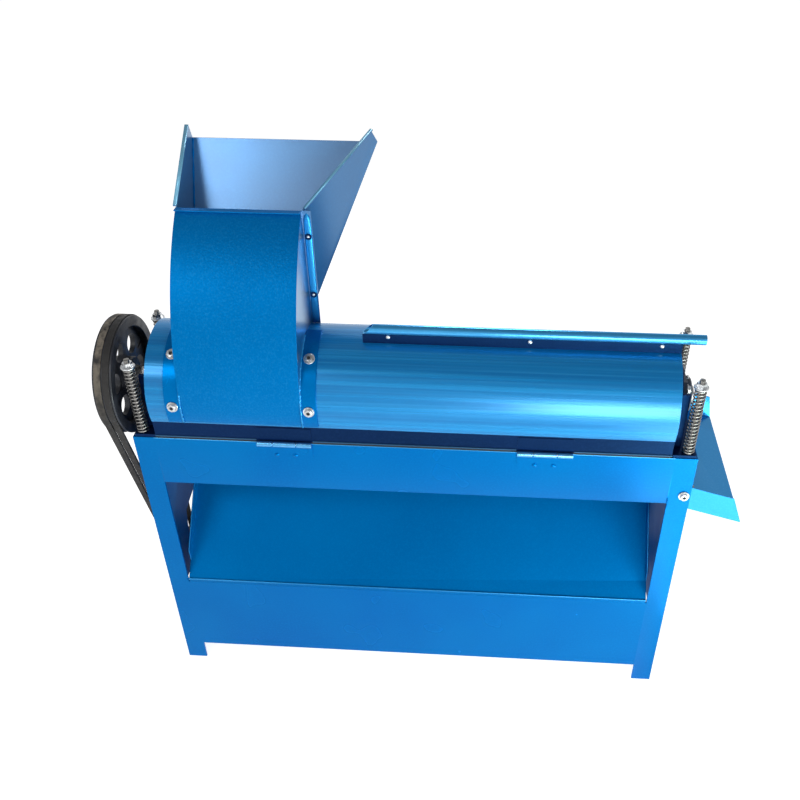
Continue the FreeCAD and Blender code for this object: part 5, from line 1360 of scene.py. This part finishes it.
lid_screws = [placed(turned([(0, -1), (3.2, -1), (3.2, 0.6), (2.4, 1.0), (0, 1.0)], (0, 0, 0), "z", 16),
                     (x, y, box_high[2] - 1.0), (0, 0, 1))
              for x in (box_low[0] + 8, box_high[0] - 8) for y in (box_low[1] + 8, box_high[1] - 8)]
case = joined(upright(inset, box_low[2], box_high[2] - 7), upright(lid, box_high[2] - 8, box_high[2] - 1),
              *lid_screws)
build("motor_terminal_case", case, "motor_terminal_box", edge=0.6)
motor_shaft_low, motor_shaft_high = span("motor_shaft")
build("motor_shaft_bar", shaft(motor_shaft_low[0], motor_shaft_high[0], MOTOR_SHAFT,
                               [(0, 5), (1.5, 2.5), (4, 0)], (MOTOR_Y, MOTOR_Z), 40), "motor_shaft")
print("motor fins", len(fins))

# %% [markdown]
# The light level is one at which a colour shows about as it is written. The glossy paint mirrors its
# surroundings, so these matter as much as the lamps: a sky that is white at the horizon and darker
# overhead, a tall soft lamp at the right front, whose image is the sheen on the drum, two small ones by
# the floor on the right, which brighten that side as in the photograph, and one high at the left front,
# which the leaning back panel of the hopper mirrors. The floor
# and the sky are white to the camera and in reflections, and the floor keeps the machine's shadow.
# %% Floor, sky and lamps
FLOOR = 14.0
FLOOR_LIFT = 0.80


def white_to_eye(tree):
    """1 for rays from the camera and for mirrored or transmitted ones, and 0 for diffuse light."""
    path = tree.nodes.new("ShaderNodeLightPath")
    total = path.outputs["Is Camera Ray"]
    for name in ("Is Glossy Ray", "Is Transmission Ray"):
        node = tree.nodes.new("ShaderNodeMath")
        node.operation = "MAXIMUM"
        tree.links.new(total, node.inputs[0])
        tree.links.new(path.outputs[name], node.inputs[1])
        total = node.outputs["Value"]
    return total


floor_mesh = bpy.data.meshes.new("floor")
floor_mesh.from_pydata([(-FLOOR, -FLOOR, 0), (FLOOR, -FLOOR, 0), (FLOOR, FLOOR, 0), (-FLOOR, FLOOR, 0)], [],
                       [(0, 1, 2, 3)])
floor = bpy.data.objects.new("floor", floor_mesh)
floor_finish = Finish("floor_white", (0.88, 0.88, 0.88), 0.9, specular=0.0)
lift = floor_finish.tree.nodes.new("ShaderNodeMath")
lift.operation = "MULTIPLY"
lift.inputs[1].default_value = FLOOR_LIFT
floor_finish.join(white_to_eye(floor_finish.tree), lift.inputs[0])
floor_finish.shader.inputs["Emission Color"].default_value = (1, 1, 1, 1)
floor_finish.join(lift.outputs["Value"], floor_finish.shader.inputs["Emission Strength"])
floor_mesh.materials.append(floor_finish.material)
bpy.context.scene.collection.objects.link(floor)

world = bpy.data.worlds.new("sky")
world.use_nodes = True
bpy.context.scene.world = world
sky = world.node_tree
height = sky.nodes.new("ShaderNodeSeparateXYZ")
sky.links.new(sky.nodes.new("ShaderNodeTexCoord").outputs["Generated"], height.inputs["Vector"])
levels = []
for horizon, overhead in ((0.43, 0.13), (1.0, 0.30)):
    ramp = sky.nodes.new("ShaderNodeMapRange")
    for name, amount in (("From Min", 0.35), ("From Max", 0.85), ("To Min", horizon), ("To Max", overhead)):
        ramp.inputs[name].default_value = amount
    sky.links.new(height.outputs["Z"], ramp.inputs["Value"])
    levels.append(ramp.outputs["Result"])
seen = sky.nodes.new("ShaderNodeMix")
sky.links.new(white_to_eye(sky), seen.inputs["Factor"])
sky.links.new(levels[0], seen.inputs[2])
sky.links.new(levels[1], seen.inputs[3])
sky.links.new(seen.outputs[0], sky.nodes["Background"].inputs["Strength"])
sky.nodes["Background"].inputs["Color"].default_value = (1, 1, 1, 1)


def lamp(name, place, target, size, power, colour=(1, 1, 1), tall=1.0):
    """A soft lamp that looks at a point: size wide and tall times as high."""
    data = bpy.data.lights.new(name, "AREA")
    data.shape = "RECTANGLE"
    data.size, data.size_y = size, size * tall
    data.energy, data.color = power, colour
    thing = bpy.data.objects.new(name, data)
    away = np.array(place, float) - np.array(target, float)
    thing.location = place
    thing.rotation_euler = (math.acos(away[2] / np.linalg.norm(away)), 0.0, math.atan2(away[0], -away[1]))
    thing.visible_camera = False
    bpy.context.scene.collection.objects.link(thing)


lamp("right_window", (0.68, -2.5, 0.60), (0.3, 0.0, 0.7), 0.80, 30.0, (1.0, 0.98, 0.95), tall=1.4)
lamp("sunny_floor", (0.95, -0.75, 0.03), (0.95, -0.74, 1.0), 0.85, 5.0, (0.85, 1.0, 0.92))
lamp("right_door", (1.05, -1.05, 0.12), (0.5, -0.1, 0.25), 0.50, 12.0, (0.80, 1.0, 0.92))
lamp("left_window", (-1.35, -1.85, 2.35), (-0.33, 0.05, 0.95), 0.85, 12.0)
lamp("rear_window", (0.1, 1.7, 2.1), (0.0, 0.0, 0.7), 0.6, 12.0)
